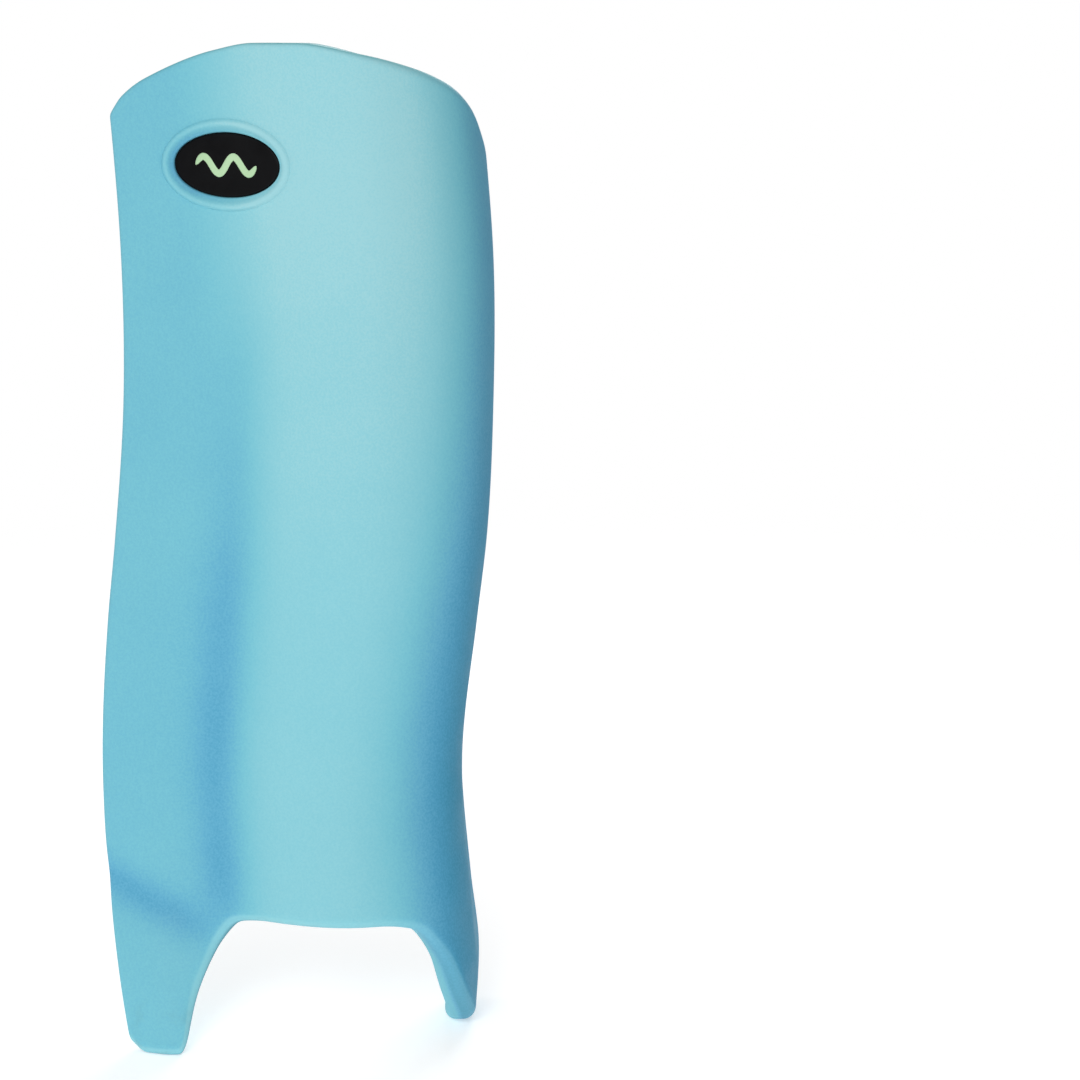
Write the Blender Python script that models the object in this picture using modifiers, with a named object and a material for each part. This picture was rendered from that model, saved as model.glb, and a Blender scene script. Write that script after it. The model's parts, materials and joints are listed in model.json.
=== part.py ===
"""Moulded goalkeeper leg guard for the right leg, standing upright on its two feet.

Metres. +Z is up, the face points to -Y, the outer wing is on -X and the inner side wall on +X.
The shell is one curved skin. A place on it is named by "along", from 0 at the wing's free edge
to 1 at the inner side's back edge, and by its height. Every layer behind the face is an inset of
that skin, so the layers stay parallel and keep their clearance when a size changes.
"""

import math

import bmesh
import bpy
from mathutils import Matrix, Vector

# Overall sizes. The profile's shares are taken of WIDTH, and its widest place is a little wider.
HEIGHT = 0.700
WIDTH = 0.270
DEPTH = 0.145

# Layers, from the face to the leg
CLEARANCE = 0.0003
BOND_GAP = 0.001
SHELL_THICKNESS = 0.022
CORE_THICKNESS = 0.012
PAD_THICKNESS = 0.013
INNER_WALL_THICKNESS = 0.018
LINING_THICKNESS = 0.008
SHELL_EDGE_RADIUS = 0.006
PAD_EDGE_RADIUS = 0.004
CORE_EDGE_RADIUS = 0.003
WALL_EDGE_RADIUS = 0.001
LINING_EDGE_RADIUS = 0.003
HARD_EDGE_RADIUS = 0.0008
CORE_MARGIN = 0.012

# Where the inner layers lie along the skin, and the pads with the shares of the height they span
CORE_SPAN = (0.24, 0.65)
INNER_WALL_SPAN = (0.79, 1.00)
INNER_LINING_SPAN = (0.84, 0.96)
PAD_SPAN = (0.29, 0.61)
PADS = (
    ("knee_pad", 0.735, 0.935, 5),
    ("shin_pad", 0.385, 0.720, 7),
    ("instep_pad", 0.170, 0.370, 5),
)

# Outer foam wall of the leg channel: two flat sides, rounded back corners
OUTER_WALL_X = -0.088
OUTER_WALL_THICKNESS = 0.026
OUTER_WALL_RADIUS = 0.010
WALL_LOW = 0.19
WALL_HIGH = 0.885

# How far the linings stay inside the walls, as shares of the height, and the outer one's depth
LINING_ABOVE = 0.035
OUTER_LINING_BELOW = 0.040
INNER_LINING_BELOW = 0.055
OUTER_LINING_DEPTH = 0.062

# Badge
BADGE_WIDTH = 0.082
BADGE_HEIGHT = 0.043
BADGE_THICKNESS = 0.003
BADGE_SINK = 0.004
BADGE_REACH = 0.030
BADGE_ALONG = 0.228
BADGE_LEVEL = 0.884
BADGE_SIDES = 40
EMBLEM_THICKNESS = 0.0008
EMBLEM_LINE = 0.0044
EMBLEM_LENGTH = 0.58
EMBLEM_RISE = 0.13
EMBLEM_STEPS = 32

# Straps, from the knee down
STRAPS = (("knee", 0.800), ("calf", 0.540), ("ankle", 0.280))
STRAP_WIDTH = 0.040
WEBBING = 0.0018
BAR_RADIUS = 0.002
LOOP_CLOSES = 0.012
LOOP_HOLE_ENDS = 0.0065
LOOP_TAIL = 0.088
FLAP_LENGTH = 0.037
TAB_LENGTH = 0.010
TAB_THICKNESS = 0.0035
TAB_SHARE = 0.8
TAB_EDGE_RADIUS = 0.001
PATCH_THICKNESS = 0.0012
PATCH_MARGIN = 0.0015
PATCH_END = 0.004
LOOP_PATCH_TOP = 0.001
LOOP_PATCH_EXTRA = 0.002

# Bracket with its bar, screws and the threaded insert in the foam
PLATE_WIDTH = 0.012
PLATE_THICKNESS = 0.0025
POST_THICKNESS = 0.003
POST_HALF_DEPTH = 0.0032
POST_CLEARANCE = 0.0006
BAR_CLEARANCE = 0.0006
SCREW_RADIUS = 0.0015
SCREW_LENGTH = 0.011
HEAD_RADIUS = 0.0030
HEAD_HEIGHT = 0.0018
HEAD_MARGIN = 0.0015
INSERT_WIDTH = 0.009
INSERT_DEPTH = 0.012
BRACKET_INSET = 0.011

# Length adjuster
SLIDER_LENGTH = 0.024
SLIDER_WALL = 0.0022
SLIDER_RAIL = 0.0025
SLIDER_BAR = 0.005
SLIDER_FROM_BAR = 0.078

# The skin's section at mid height, from the wing's edge round to the back edge of the inner side:
# share of the width, share of the depth
SECTION = (
    (0.000, 0.440),
    (0.100, 0.385),
    (0.300, 0.280),
    (0.400, 0.180),
    (0.500, 0.080),
    (0.600, 0.016),
    (0.690, 0.000),
    (0.790, 0.035),
    (0.880, 0.115),
    (0.950, 0.240),
    (1.000, 0.480),
    (0.995, 0.750),
    (0.995, 1.000),
)

# How the skin runs with height: share of the height, then the wing's edge and the inner side as
# shares of the width, and in metres how far back the face leans, how far forward the wing flares
# and how far outward the inner side's back edge flares
PROFILE = (
    (0.000, -0.440, 0.440, 0.000, 0.042, 0.005),
    (0.065, -0.471, 0.450, 0.001, 0.030, 0.004),
    (0.140, -0.500, 0.440, 0.006, 0.012, 0.001),
    (0.285, -0.520, 0.420, 0.018, 0.000, 0.000),
    (0.430, -0.497, 0.461, 0.012, 0.000, 0.000),
    (0.510, -0.474, 0.486, 0.006, 0.000, 0.000),
    (0.650, -0.443, 0.505, 0.001, 0.000, 0.000),
    (0.790, -0.440, 0.506, 0.000, 0.000, 0.000),
    (0.910, -0.456, 0.484, -0.001, 0.000, 0.000),
    (1.000, -0.475, 0.462, -0.005, 0.000, 0.000),
)

# Top and bottom edges: place along the skin, share of the height
TOP_EDGE = (
    (0.000, 0.930),
    (0.030, 0.949),
    (0.080, 0.966),
    (0.220, 0.993),
    (0.310, 1.000),
    (0.400, 1.000),
    (0.520, 0.990),
    (0.620, 0.977),
    (0.700, 0.962),
    (0.760, 0.943),
    (0.830, 0.907),
    (0.900, 0.880),
    (1.000, 0.868),
)
BOTTOM_EDGE = (
    (0.000, 0.014),
    (0.022, 0.000),
    (0.118, 0.000),
    (0.155, 0.050),
    (0.190, 0.086),
    (0.225, 0.114),
    (0.260, 0.130),
    (0.320, 0.133),
    (0.560, 0.135),
    (0.630, 0.129),
    (0.690, 0.096),
    (0.745, 0.050),
    (0.800, 0.022),
    (0.845, 0.007),
    (0.880, 0.000),
    (0.975, 0.000),
    (1.000, 0.012),
)
# Only the middle of the face leans with the profile: the wing and the inner side stay upright
WING_ENDS = 0.060
FACE_STARTS = 0.340
FACE_ENDS = 0.640
SIDE_STARTS = 0.900

COLUMNS = 34
ROWS = 18
ROUND_SIDES = 12

# How far a cutter passes a face, and how far joined pieces reach into each other
OVERSHOOT = 0.010
OVERLAP = 0.0005


def clear_scene():
    for obj in list(bpy.data.objects):
        bpy.data.objects.remove(obj, do_unlink=True)


def new_collection(name, hidden=False):
    collection = bpy.data.collections.new(name)
    bpy.context.scene.collection.children.link(collection)
    collection.hide_render = hidden
    return collection


def linear(channel):
    """An sRGB channel, 0 to 255, as the linear value that a shader takes."""
    value = channel / 255
    return value / 12.92 if value <= 0.04045 else ((value + 0.055) / 1.055) ** 2.4


def principled(name, red, green, blue, roughness, metallic=0.0):
    material = bpy.data.materials.new(name)
    material.use_nodes = True
    shader = material.node_tree.nodes["Principled BSDF"]
    colour = (linear(red), linear(green), linear(blue), 1.0)
    shader.inputs["Base Color"].default_value = colour
    shader.inputs["Roughness"].default_value = roughness
    shader.inputs["Metallic"].default_value = metallic
    material.diffuse_color = colour
    return material


def smooth(keys, at, level=False):
    """The value at a place on a smooth curve through (place, value) keys. With level, a stretch
    between two equal keys stays level, and the curve never passes beyond a key."""
    if at <= keys[0][0]:
        return keys[0][1]
    if at >= keys[-1][0]:
        return keys[-1][1]
    after = next(i for i, key in enumerate(keys) if key[0] > at)

    def rise(i):
        return (keys[i + 1][1] - keys[i][1]) / (keys[i + 1][0] - keys[i][0])

    def slope(i):
        if i == 0:
            return rise(0)
        if i == len(keys) - 1:
            return rise(i - 1)
        before, behind = rise(i - 1), rise(i)
        if level:
            same_way = before * behind > 0
            return 2 * before * behind / (before + behind) if same_way else 0.0
        back = keys[i][0] - keys[i - 1][0]
        on = keys[i + 1][0] - keys[i][0]
        return (before * on + behind * back) / (back + on)

    (left, low), (right, high) = keys[after - 1], keys[after]
    span = right - left
    t = (at - left) / span
    return (
        (1 + 2 * t) * (1 - t) ** 2 * low
        + t * (1 - t) ** 2 * span * slope(after - 1)
        + t * t * (3 - 2 * t) * high
        + t * t * (t - 1) * span * slope(after)
    )


def section_keys():
    """The section's two coordinates, each keyed by the share of the distance along it."""
    places = [0.0]
    for (x0, y0), (x1, y1) in zip(SECTION, SECTION[1:]):
        places.append(places[-1] + math.hypot((x1 - x0) * WIDTH, (y1 - y0) * DEPTH))
    shares = [place / places[-1] for place in places]
    across = [(share, point[0]) for share, point in zip(shares, SECTION)]
    depth = [(share, point[1]) for share, point in zip(shares, SECTION)]
    return across, depth


ACROSS, BACK = section_keys()


def profile(level, column):
    return smooth([(row[0], row[column]) for row in PROFILE], level)


def ramp(value, start, end):
    """A smooth rise from 0 at start to 1 at end."""
    share = min(max((value - start) / (end - start), 0.0), 1.0)
    return share * share * (3 - 2 * share)


def section_point(along, z):
    """The face of the shell at a place along the skin and a height."""
    level = z / HEIGHT
    wing, inner = profile(level, 1), profile(level, 2)
    off_wing = ramp(along, WING_ENDS, FACE_STARTS)
    lean = profile(level, 3) * off_wing * (1 - ramp(along, FACE_ENDS, SIDE_STARTS))
    lean -= profile(level, 4) * (1 - off_wing)
    flare = profile(level, 5) * ramp(along, FACE_ENDS, 1.0)
    x = WIDTH * (wing + (inner - wing) * smooth(ACROSS, along)) + flare
    return Vector((x, DEPTH * smooth(BACK, along) + lean, z))


def skin_point(along, z, inset=0.0):
    """The skin moved back from the face by an inset, level with the ground."""
    step = 1e-3
    low, high = max(along - step, 0.0), min(along + step, 1.0)
    tangent = section_point(high, z) - section_point(low, z)
    inward = Vector((-tangent.y, tangent.x, 0.0)).normalized()
    return section_point(along, z) + inward * inset


def skin_at_x(x, z, inset):
    """The point of the inset skin's front half that lies at x."""
    low, high = 0.0, 0.5
    for _ in range(30):
        middle = (low + high) / 2
        if skin_point(middle, z, inset).x < x:
            low = middle
        else:
            high = middle
    return skin_point(low, z, inset)


def steps(low, high, count):
    return [low + (high - low) * i / count for i in range(count + 1)]


def columns_between(low, high):
    """The shell's own columns between two places along the skin, so that layers' facets match."""
    return [along for along in steps(0.0, 1.0, COLUMNS) if low <= along <= high]


def top_of(along):
    return HEIGHT * smooth(TOP_EDGE, along, level=True)


def bottom_of(along):
    return HEIGHT * smooth(BOTTOM_EDGE, along, level=True)


def slab(name, near, far):
    """A closed solid between two grids of points with the same rows and columns."""
    mesh = bmesh.new()
    front = [[mesh.verts.new(point) for point in row] for row in near]
    back = [[mesh.verts.new(point) for point in row] for row in far]
    rows, columns = len(front) - 1, len(front[0]) - 1
    for j in range(rows):
        for i in range(columns):
            for grid in (front, back):
                quad = (grid[j][i], grid[j][i + 1], grid[j + 1][i + 1], grid[j + 1][i])
                mesh.faces.new(quad)
    for i in range(columns):
        for j in (0, rows):
            mesh.faces.new((front[j][i], front[j][i + 1], back[j][i + 1], back[j][i]))
    for j in range(rows):
        for i in (0, columns):
            mesh.faces.new((front[j][i], front[j + 1][i], back[j + 1][i], back[j][i]))
    bmesh.ops.recalc_face_normals(mesh, faces=mesh.faces)
    return finished(name, mesh)


def finished(name, mesh):
    """A bmesh as an object of the part."""
    data = bpy.data.meshes.new(name)
    mesh.to_mesh(data)
    mesh.free()
    obj = bpy.data.objects.new(name, data)
    PARTS.objects.link(obj)
    return obj


def layer(name, inset, thickness, alongs, low, high, rows):
    """A slab of the skin between two insets. low and high give its edges' heights."""

    def grid(depth):
        return [
            [skin_point(a, low(a) + (high(a) - low(a)) * share, depth) for a in alongs]
            for share in steps(0.0, 1.0, rows)
        ]

    return slab(name, grid(inset), grid(inset + thickness))


def rounded(obj, width, segments=2, angle=math.radians(50)):
    bevel = obj.modifiers.new("rounded edges", "BEVEL")
    bevel.width = width
    bevel.segments = segments
    bevel.limit_method = "ANGLE"
    bevel.angle_limit = angle
    return obj


def cut(obj, cutter):
    boolean = obj.modifiers.new("cut " + cutter.name, "BOOLEAN")
    boolean.operation = "DIFFERENCE"
    boolean.object = cutter


def as_cutter(obj):
    PARTS.objects.unlink(obj)
    CUTTERS.objects.link(obj)
    obj.hide_render = True
    obj.display_type = "WIRE"
    return obj


def box(name, low, high):
    """A box between two corners."""
    mesh = bmesh.new()
    bmesh.ops.create_cube(mesh, size=1.0)
    low, high = Vector(low), Vector(high)
    bmesh.ops.scale(mesh, vec=high - low, verts=mesh.verts)
    bmesh.ops.translate(mesh, vec=(low + high) / 2, verts=mesh.verts)
    return finished(name, mesh)


def cylinder(name, radius, start, end, sides=ROUND_SIDES):
    """A cylinder between two points."""
    start, end = Vector(start), Vector(end)
    mesh = bmesh.new()
    bmesh.ops.create_cone(
        mesh,
        cap_ends=True,
        segments=sides,
        radius1=radius,
        radius2=radius,
        depth=(end - start).length,
    )
    turn = Vector((0, 0, 1)).rotation_difference(end - start).to_matrix().to_4x4()
    bmesh.ops.transform(
        mesh, matrix=Matrix.Translation((start + end) / 2) @ turn, verts=mesh.verts
    )
    return finished(name, mesh)


def outline_solid(name, outlines, low, high):
    """Closed outlines in the ground plane, the second one a hole, raised from low to high."""
    curve = bpy.data.curves.new(name, "CURVE")
    curve.dimensions = "2D"
    curve.fill_mode = "BOTH"
    curve.extrude = (high - low) / 2
    for outline in outlines:
        spline = curve.splines.new("POLY")
        spline.points.add(len(outline) - 1)
        spline.use_cyclic_u = True
        for point, (x, y) in zip(spline.points, outline):
            point.co = (x, y, 0.0, 1.0)
    flat = bpy.data.objects.new(name, curve)
    flat.location.z = (low + high) / 2
    PARTS.objects.link(flat)
    return flat


def as_mesh(flat):
    """A curve object made a closed mesh, which a Bevel or a Boolean needs."""
    bpy.context.view_layer.update()
    graph = bpy.context.evaluated_depsgraph_get()
    data = bpy.data.meshes.new_from_object(flat.evaluated_get(graph))
    mesh = bmesh.new()
    mesh.from_mesh(data)
    bmesh.ops.remove_doubles(mesh, verts=mesh.verts, dist=1e-6)
    bmesh.ops.transform(mesh, matrix=flat.matrix_world, verts=mesh.verts)
    name = flat.name
    bpy.data.objects.remove(flat, do_unlink=True)
    bpy.data.meshes.remove(data)
    return finished(name, mesh)


def arc(centre, radius, start, end, count):
    """Points on an arc in the ground plane, angles in radians."""
    return [
        (centre[0] + radius * math.cos(angle), centre[1] + radius * math.sin(angle))
        for angle in steps(start, end, count)
    ]


def paint(obj, material):
    obj.data.materials.clear()
    obj.data.materials.append(material)
    return obj


def origin_at(obj, place):
    """Puts an object's origin on its joint's axis, and leaves its shape where it is."""
    obj.data.transform(Matrix.Translation(-Vector(place)))
    obj.location = place
    return obj


def foam_layers():
    """The moulded shell and the stiffer layer bonded behind its face."""
    alongs = columns_between(0.0, 1.0)
    shell = layer("face_shell", 0.0, SHELL_THICKNESS, alongs, bottom_of, top_of, ROWS)
    rounded(shell, SHELL_EDGE_RADIUS)
    paint(shell, BLUE_FOAM)
    core = layer(
        "core_layer",
        SHELL_THICKNESS + BOND_GAP,
        CORE_THICKNESS,
        columns_between(*CORE_SPAN),
        lambda along: bottom_of(along) + CORE_MARGIN,
        lambda along: top_of(along) - CORE_MARGIN,
        ROWS,
    )
    rounded(core, CORE_EDGE_RADIUS, segments=1)
    paint(core, GREY_FOAM)
    return shell


def outer_wall():
    """The foam wall on the outer side of the leg, between the wing's back and the straps."""
    inset = SHELL_THICKNESS + BOND_GAP
    heights = steps(WALL_LOW * HEIGHT, WALL_HIGH * HEIGHT, ROWS)
    radius = OUTER_WALL_RADIUS
    left, right = OUTER_WALL_X, OUTER_WALL_X + OUTER_WALL_THICKNESS
    back = DEPTH - radius
    rim = arc((left + radius, back), radius, math.pi, math.pi / 2, 4)
    rim += arc((right - radius, back), radius, math.pi / 2, 0.0, 4)
    xs = steps(left, right, len(rim) - 1)
    near = [[skin_at_x(x, z, inset) for x in xs] for z in heights]
    far = [[(x, y, z) for x, y in rim] for z in heights]
    wall = rounded(slab("wall_lateral", near, far), WALL_EDGE_RADIUS, segments=1)
    paint(wall, BLUE_FOAM)
    lining_x = OUTER_WALL_X + OUTER_WALL_THICKNESS + CLEARANCE
    lining = box(
        "lining_lateral",
        (lining_x, DEPTH - OUTER_LINING_DEPTH, (WALL_LOW + LINING_ABOVE) * HEIGHT),
        (
            lining_x + LINING_THICKNESS,
            DEPTH - OUTER_WALL_RADIUS,
            (WALL_HIGH - OUTER_LINING_BELOW) * HEIGHT,
        ),
    )
    paint(rounded(lining, LINING_EDGE_RADIUS), LINING_CLOTH)


def inner_wall():
    """The foam wall on the inner side of the leg, bonded inside the shell's side."""
    inset = SHELL_THICKNESS + BOND_GAP

    def low(along):
        return WALL_LOW * HEIGHT

    def high(along):
        return min(WALL_HIGH * HEIGHT, top_of(along) - CORE_MARGIN)

    alongs = columns_between(*INNER_WALL_SPAN)
    wall = layer("wall_medial", inset, INNER_WALL_THICKNESS, alongs, low, high, ROWS)
    paint(rounded(wall, PAD_EDGE_RADIUS), BLUE_FOAM)
    lining = layer(
        "lining_medial",
        inset + INNER_WALL_THICKNESS + BOND_GAP,
        LINING_THICKNESS,
        columns_between(*INNER_LINING_SPAN),
        lambda along: (WALL_LOW + LINING_ABOVE) * HEIGHT,
        lambda along: (WALL_HIGH - INNER_LINING_BELOW) * HEIGHT,
        ROWS,
    )
    paint(rounded(lining, LINING_EDGE_RADIUS), LINING_CLOTH)


def leg_pads():
    """The soft pads on the floor of the leg channel, from the knee down."""
    inset = SHELL_THICKNESS + BOND_GAP + CORE_THICKNESS + BOND_GAP
    for name, low, high, rows in PADS:
        pad = layer(
            name,
            inset,
            PAD_THICKNESS,
            columns_between(*PAD_SPAN),
            lambda along, share=low: share * HEIGHT,
            lambda along, share=high: share * HEIGHT,
            rows,
        )
        paint(rounded(pad, PAD_EDGE_RADIUS), LINING_CLOTH)


def badge_frame():
    """The badge's place: its origin on the face, +X across, +Y up and +Z out of the face."""
    z = BADGE_LEVEL * HEIGHT
    centre = skin_point(BADGE_ALONG, z)
    across = skin_point(BADGE_ALONG + 0.05, z) - skin_point(BADGE_ALONG - 0.05, z)
    up = skin_point(BADGE_ALONG, z + 0.02) - skin_point(BADGE_ALONG, z - 0.02)
    across.normalize()
    out = across.cross(up).normalized()
    up = out.cross(across)
    turn = Matrix((across, up, out)).transposed().to_4x4()
    return Matrix.Translation(centre) @ turn


def oval(name, width, height, low, high, frame):
    """An oval disc between two heights over the badge's frame."""
    solid = cylinder(name, 0.5, (0, 0, low), (0, 0, high), BADGE_SIDES)
    solid.data.transform(Matrix.Diagonal((width, height, 1.0, 1.0)))
    solid.data.transform(frame)
    return solid


def wave(length, rise, line):
    """The outline of a line of two waves, centred on the origin."""
    upper, lower = [], []
    for swing in steps(-1.0, 1.0, EMBLEM_STEPS):
        x, y = swing * length / 2, rise * math.sin(2 * math.pi * swing)
        slope = 4 * math.pi * rise / length * math.cos(2 * math.pi * swing)
        across = Vector((-slope, 1.0)).normalized() * line / 2
        upper.append((x + across.x, y + across.y))
        lower.append((x - across.x, y - across.y))
    return upper + lower[::-1]


def badge(shell):
    """The oval badge let into the shell, with a raised wave line on it."""
    frame = badge_frame()
    play = 2 * CLEARANCE
    recess = oval(
        "badge_recess", BADGE_WIDTH + play, BADGE_HEIGHT + play, -BADGE_SINK, BADGE_REACH, frame
    )
    cut(shell, as_cutter(recess))
    floor = -BADGE_SINK + CLEARANCE
    face = floor + BADGE_THICKNESS
    insert = oval("badge_insert", BADGE_WIDTH, BADGE_HEIGHT, floor, face, frame)
    insert = rounded(insert, HARD_EDGE_RADIUS, segments=1)
    paint(insert, BADGE_BLACK)
    outline = wave(BADGE_WIDTH * EMBLEM_LENGTH, BADGE_HEIGHT * EMBLEM_RISE, EMBLEM_LINE)
    low = face + CLEARANCE
    emblem = as_mesh(
        outline_solid("badge_emblem", [outline], low, low + EMBLEM_THICKNESS)
    )
    emblem.data.transform(frame)
    paint(emblem, EMBLEM_GREEN)


def bar_place(z):
    """The axis of a strap's bar, behind the back edge of the inner side."""
    edge = skin_point(1.0, z)
    plate_back = DEPTH + CLEARANCE + PLATE_THICKNESS
    return Vector((edge.x - BRACKET_INSET, plate_back + loop_outer() + BAR_CLEARANCE, z))


def loop_outer():
    """Radius of the webbing's loop round the bar, outside."""
    return BAR_RADIUS + CLEARANCE + WEBBING


def corner():
    """Centre and inner radius of the webbing's bend round the outer wall's back corner."""
    stack = CLEARANCE + PATCH_THICKNESS + CLEARANCE + PATCH_THICKNESS + CLEARANCE
    centre = Vector((OUTER_WALL_X + OUTER_WALL_RADIUS, DEPTH - OUTER_WALL_RADIUS, 0.0))
    return centre, OUTER_WALL_RADIUS + stack


def strap_line(z):
    """The strap's bar, and the direction and outward normal of the webbing's inner face between
    the bar and the corner's bend."""
    bar = bar_place(z)
    centre, radius = corner()
    to_centre = Vector((centre.x - bar.x, centre.y - bar.y, 0.0))
    lift = math.asin(radius / to_centre.length)
    way = to_centre.normalized()
    way.rotate(Matrix.Rotation(-lift, 3, "Z"))
    return bar, way, Vector((way.y, -way.x, 0.0))


def webbing(name, z):
    """The strap: a sewn loop round the bar, a doubled run, then one layer to the outer corner
    and round it."""
    bar, way, outward = strap_line(z)
    centre, radius = corner()

    def at(along, out):
        place = bar + way * along + outward * out
        return (place.x, place.y)

    turn = math.atan2(outward.y, outward.x)
    hole_radius = BAR_RADIUS + CLEARANCE
    outer = arc(bar, loop_outer(), turn + math.radians(50), turn - math.radians(230), 14)
    outer_start = at(LOOP_CLOSES, WEBBING)
    tail = [at(LOOP_CLOSES, -WEBBING), at(LOOP_TAIL, -WEBBING), at(LOOP_TAIL, 0.0)]
    inner_bend = arc(centre, radius, turn, math.pi, 8)
    outer_bend = arc(centre, radius + WEBBING, math.pi, turn, 8)
    half_gap = CLEARANCE / 2
    inner_end = [(inner_bend[-1][0], inner_bend[-1][1] + half_gap)]
    outer_end = [(outer_bend[0][0], outer_bend[0][1] + half_gap)]
    outline = outer + tail + inner_bend[:-1] + inner_end
    outline += outer_end + outer_bend[1:] + [outer_start]
    hole = arc(bar, hole_radius, turn + math.radians(60), turn - math.radians(240), 12)
    hole.append(at(LOOP_HOLE_ENDS, 0.0))
    half = STRAP_WIDTH / 2
    strap = as_mesh(outline_solid(name, [outline, hole], z - half, z + half))
    origin_at(strap, bar)
    return paint(strap, WEBBING_BLACK)


def flap(place, z):
    """The strap's free end on the outer wall, with its hook patch and pull tab."""
    centre, radius = corner()
    inner_x = centre.x - radius
    outer_x = inner_x - WEBBING
    start = centre.y - CLEARANCE / 2
    end = start - FLAP_LENGTH
    half = STRAP_WIDTH / 2
    axis = Vector((outer_x, centre.y, z))
    band = box("flap_" + place, (outer_x, end, z - half), (inner_x, start, z + half))
    paint(origin_at(band, axis), WEBBING_BLACK)
    patch_half = half - PATCH_MARGIN
    hook_x = inner_x + CLEARANCE
    hook = box(
        "hook_patch_" + place,
        (hook_x, end + PATCH_END, z - patch_half),
        (hook_x + PATCH_THICKNESS, start - PATCH_END, z + patch_half),
    )
    paint(origin_at(hook, axis), HOOK_BLACK)
    middle = (inner_x + outer_x) / 2
    tab_end = end - CLEARANCE
    tab = box(
        "pull_tab_" + place,
        (middle - TAB_THICKNESS / 2, tab_end - TAB_LENGTH, z - half * TAB_SHARE),
        (middle + TAB_THICKNESS / 2, tab_end, z + half * TAB_SHARE),
    )
    paint(origin_at(rounded(tab, TAB_EDGE_RADIUS), axis), RUBBER)
    loop_x = OUTER_WALL_X - CLEARANCE
    loop = box(
        "loop_patch_" + place,
        (loop_x - PATCH_THICKNESS, end - LOOP_PATCH_EXTRA, z - half),
        (loop_x, start - LOOP_PATCH_TOP, z + half),
    )
    paint(loop, LOOP_BLACK)


def in_strap_frame(obj, z):
    """Moves a shape made along +X, with +Y outward, onto the strap's line at a height."""
    bar, way, outward = strap_line(z)
    turn = Matrix((way, outward, Vector((0, 0, 1)))).transposed().to_4x4()
    obj.data.transform(Matrix.Translation(bar) @ turn)
    if turn.determinant() < 0:
        obj.data.flip_normals()
    return obj


def slider(place, z):
    """The adjuster: a sleeve round both runs of webbing, open between its bars."""
    play = CLEARANCE * 2
    half_slot = STRAP_WIDTH / 2 + play
    half_rail = half_slot + SLIDER_RAIL
    start, end = SLIDER_FROM_BAR, SLIDER_FROM_BAR + SLIDER_LENGTH
    slot_low, slot_high = -WEBBING - play, WEBBING + play
    body = box(
        "slider_" + place,
        (start, slot_low - SLIDER_WALL, -half_rail),
        (end, slot_high + SLIDER_WALL, half_rail),
    )
    rounded(body, HARD_EDGE_RADIUS, segments=1)
    middle = (start + end) / 2
    window = (SLIDER_LENGTH - 3 * SLIDER_BAR) / 2
    holes = [
        ((start - OVERSHOOT, slot_low, -half_slot), (end + OVERSHOOT, slot_high, half_slot)),
        (
            (start + SLIDER_BAR, slot_low - OVERSHOOT, -half_slot),
            (end - SLIDER_BAR, slot_low + OVERLAP, half_slot),
        ),
    ]
    for side in (-1, 1):
        near = middle + side * SLIDER_BAR / 2
        far = near + side * window
        holes.append(
            (
                (min(near, far), slot_high - OVERLAP, -half_slot),
                (max(near, far), slot_high + OVERSHOOT, half_slot),
            )
        )
    for number, (low, high) in enumerate(holes):
        cutter = as_cutter(box(f"slider_hole_{place}_{number}", low, high))
        in_strap_frame(cutter, z)
        cut(body, cutter)
    in_strap_frame(body, z)
    bar = bar_place(z)
    for cutter in [m.object for m in body.modifiers if m.type == "BOOLEAN"]:
        origin_at(cutter, bar)
    paint(origin_at(body, bar), NYLON)


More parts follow.
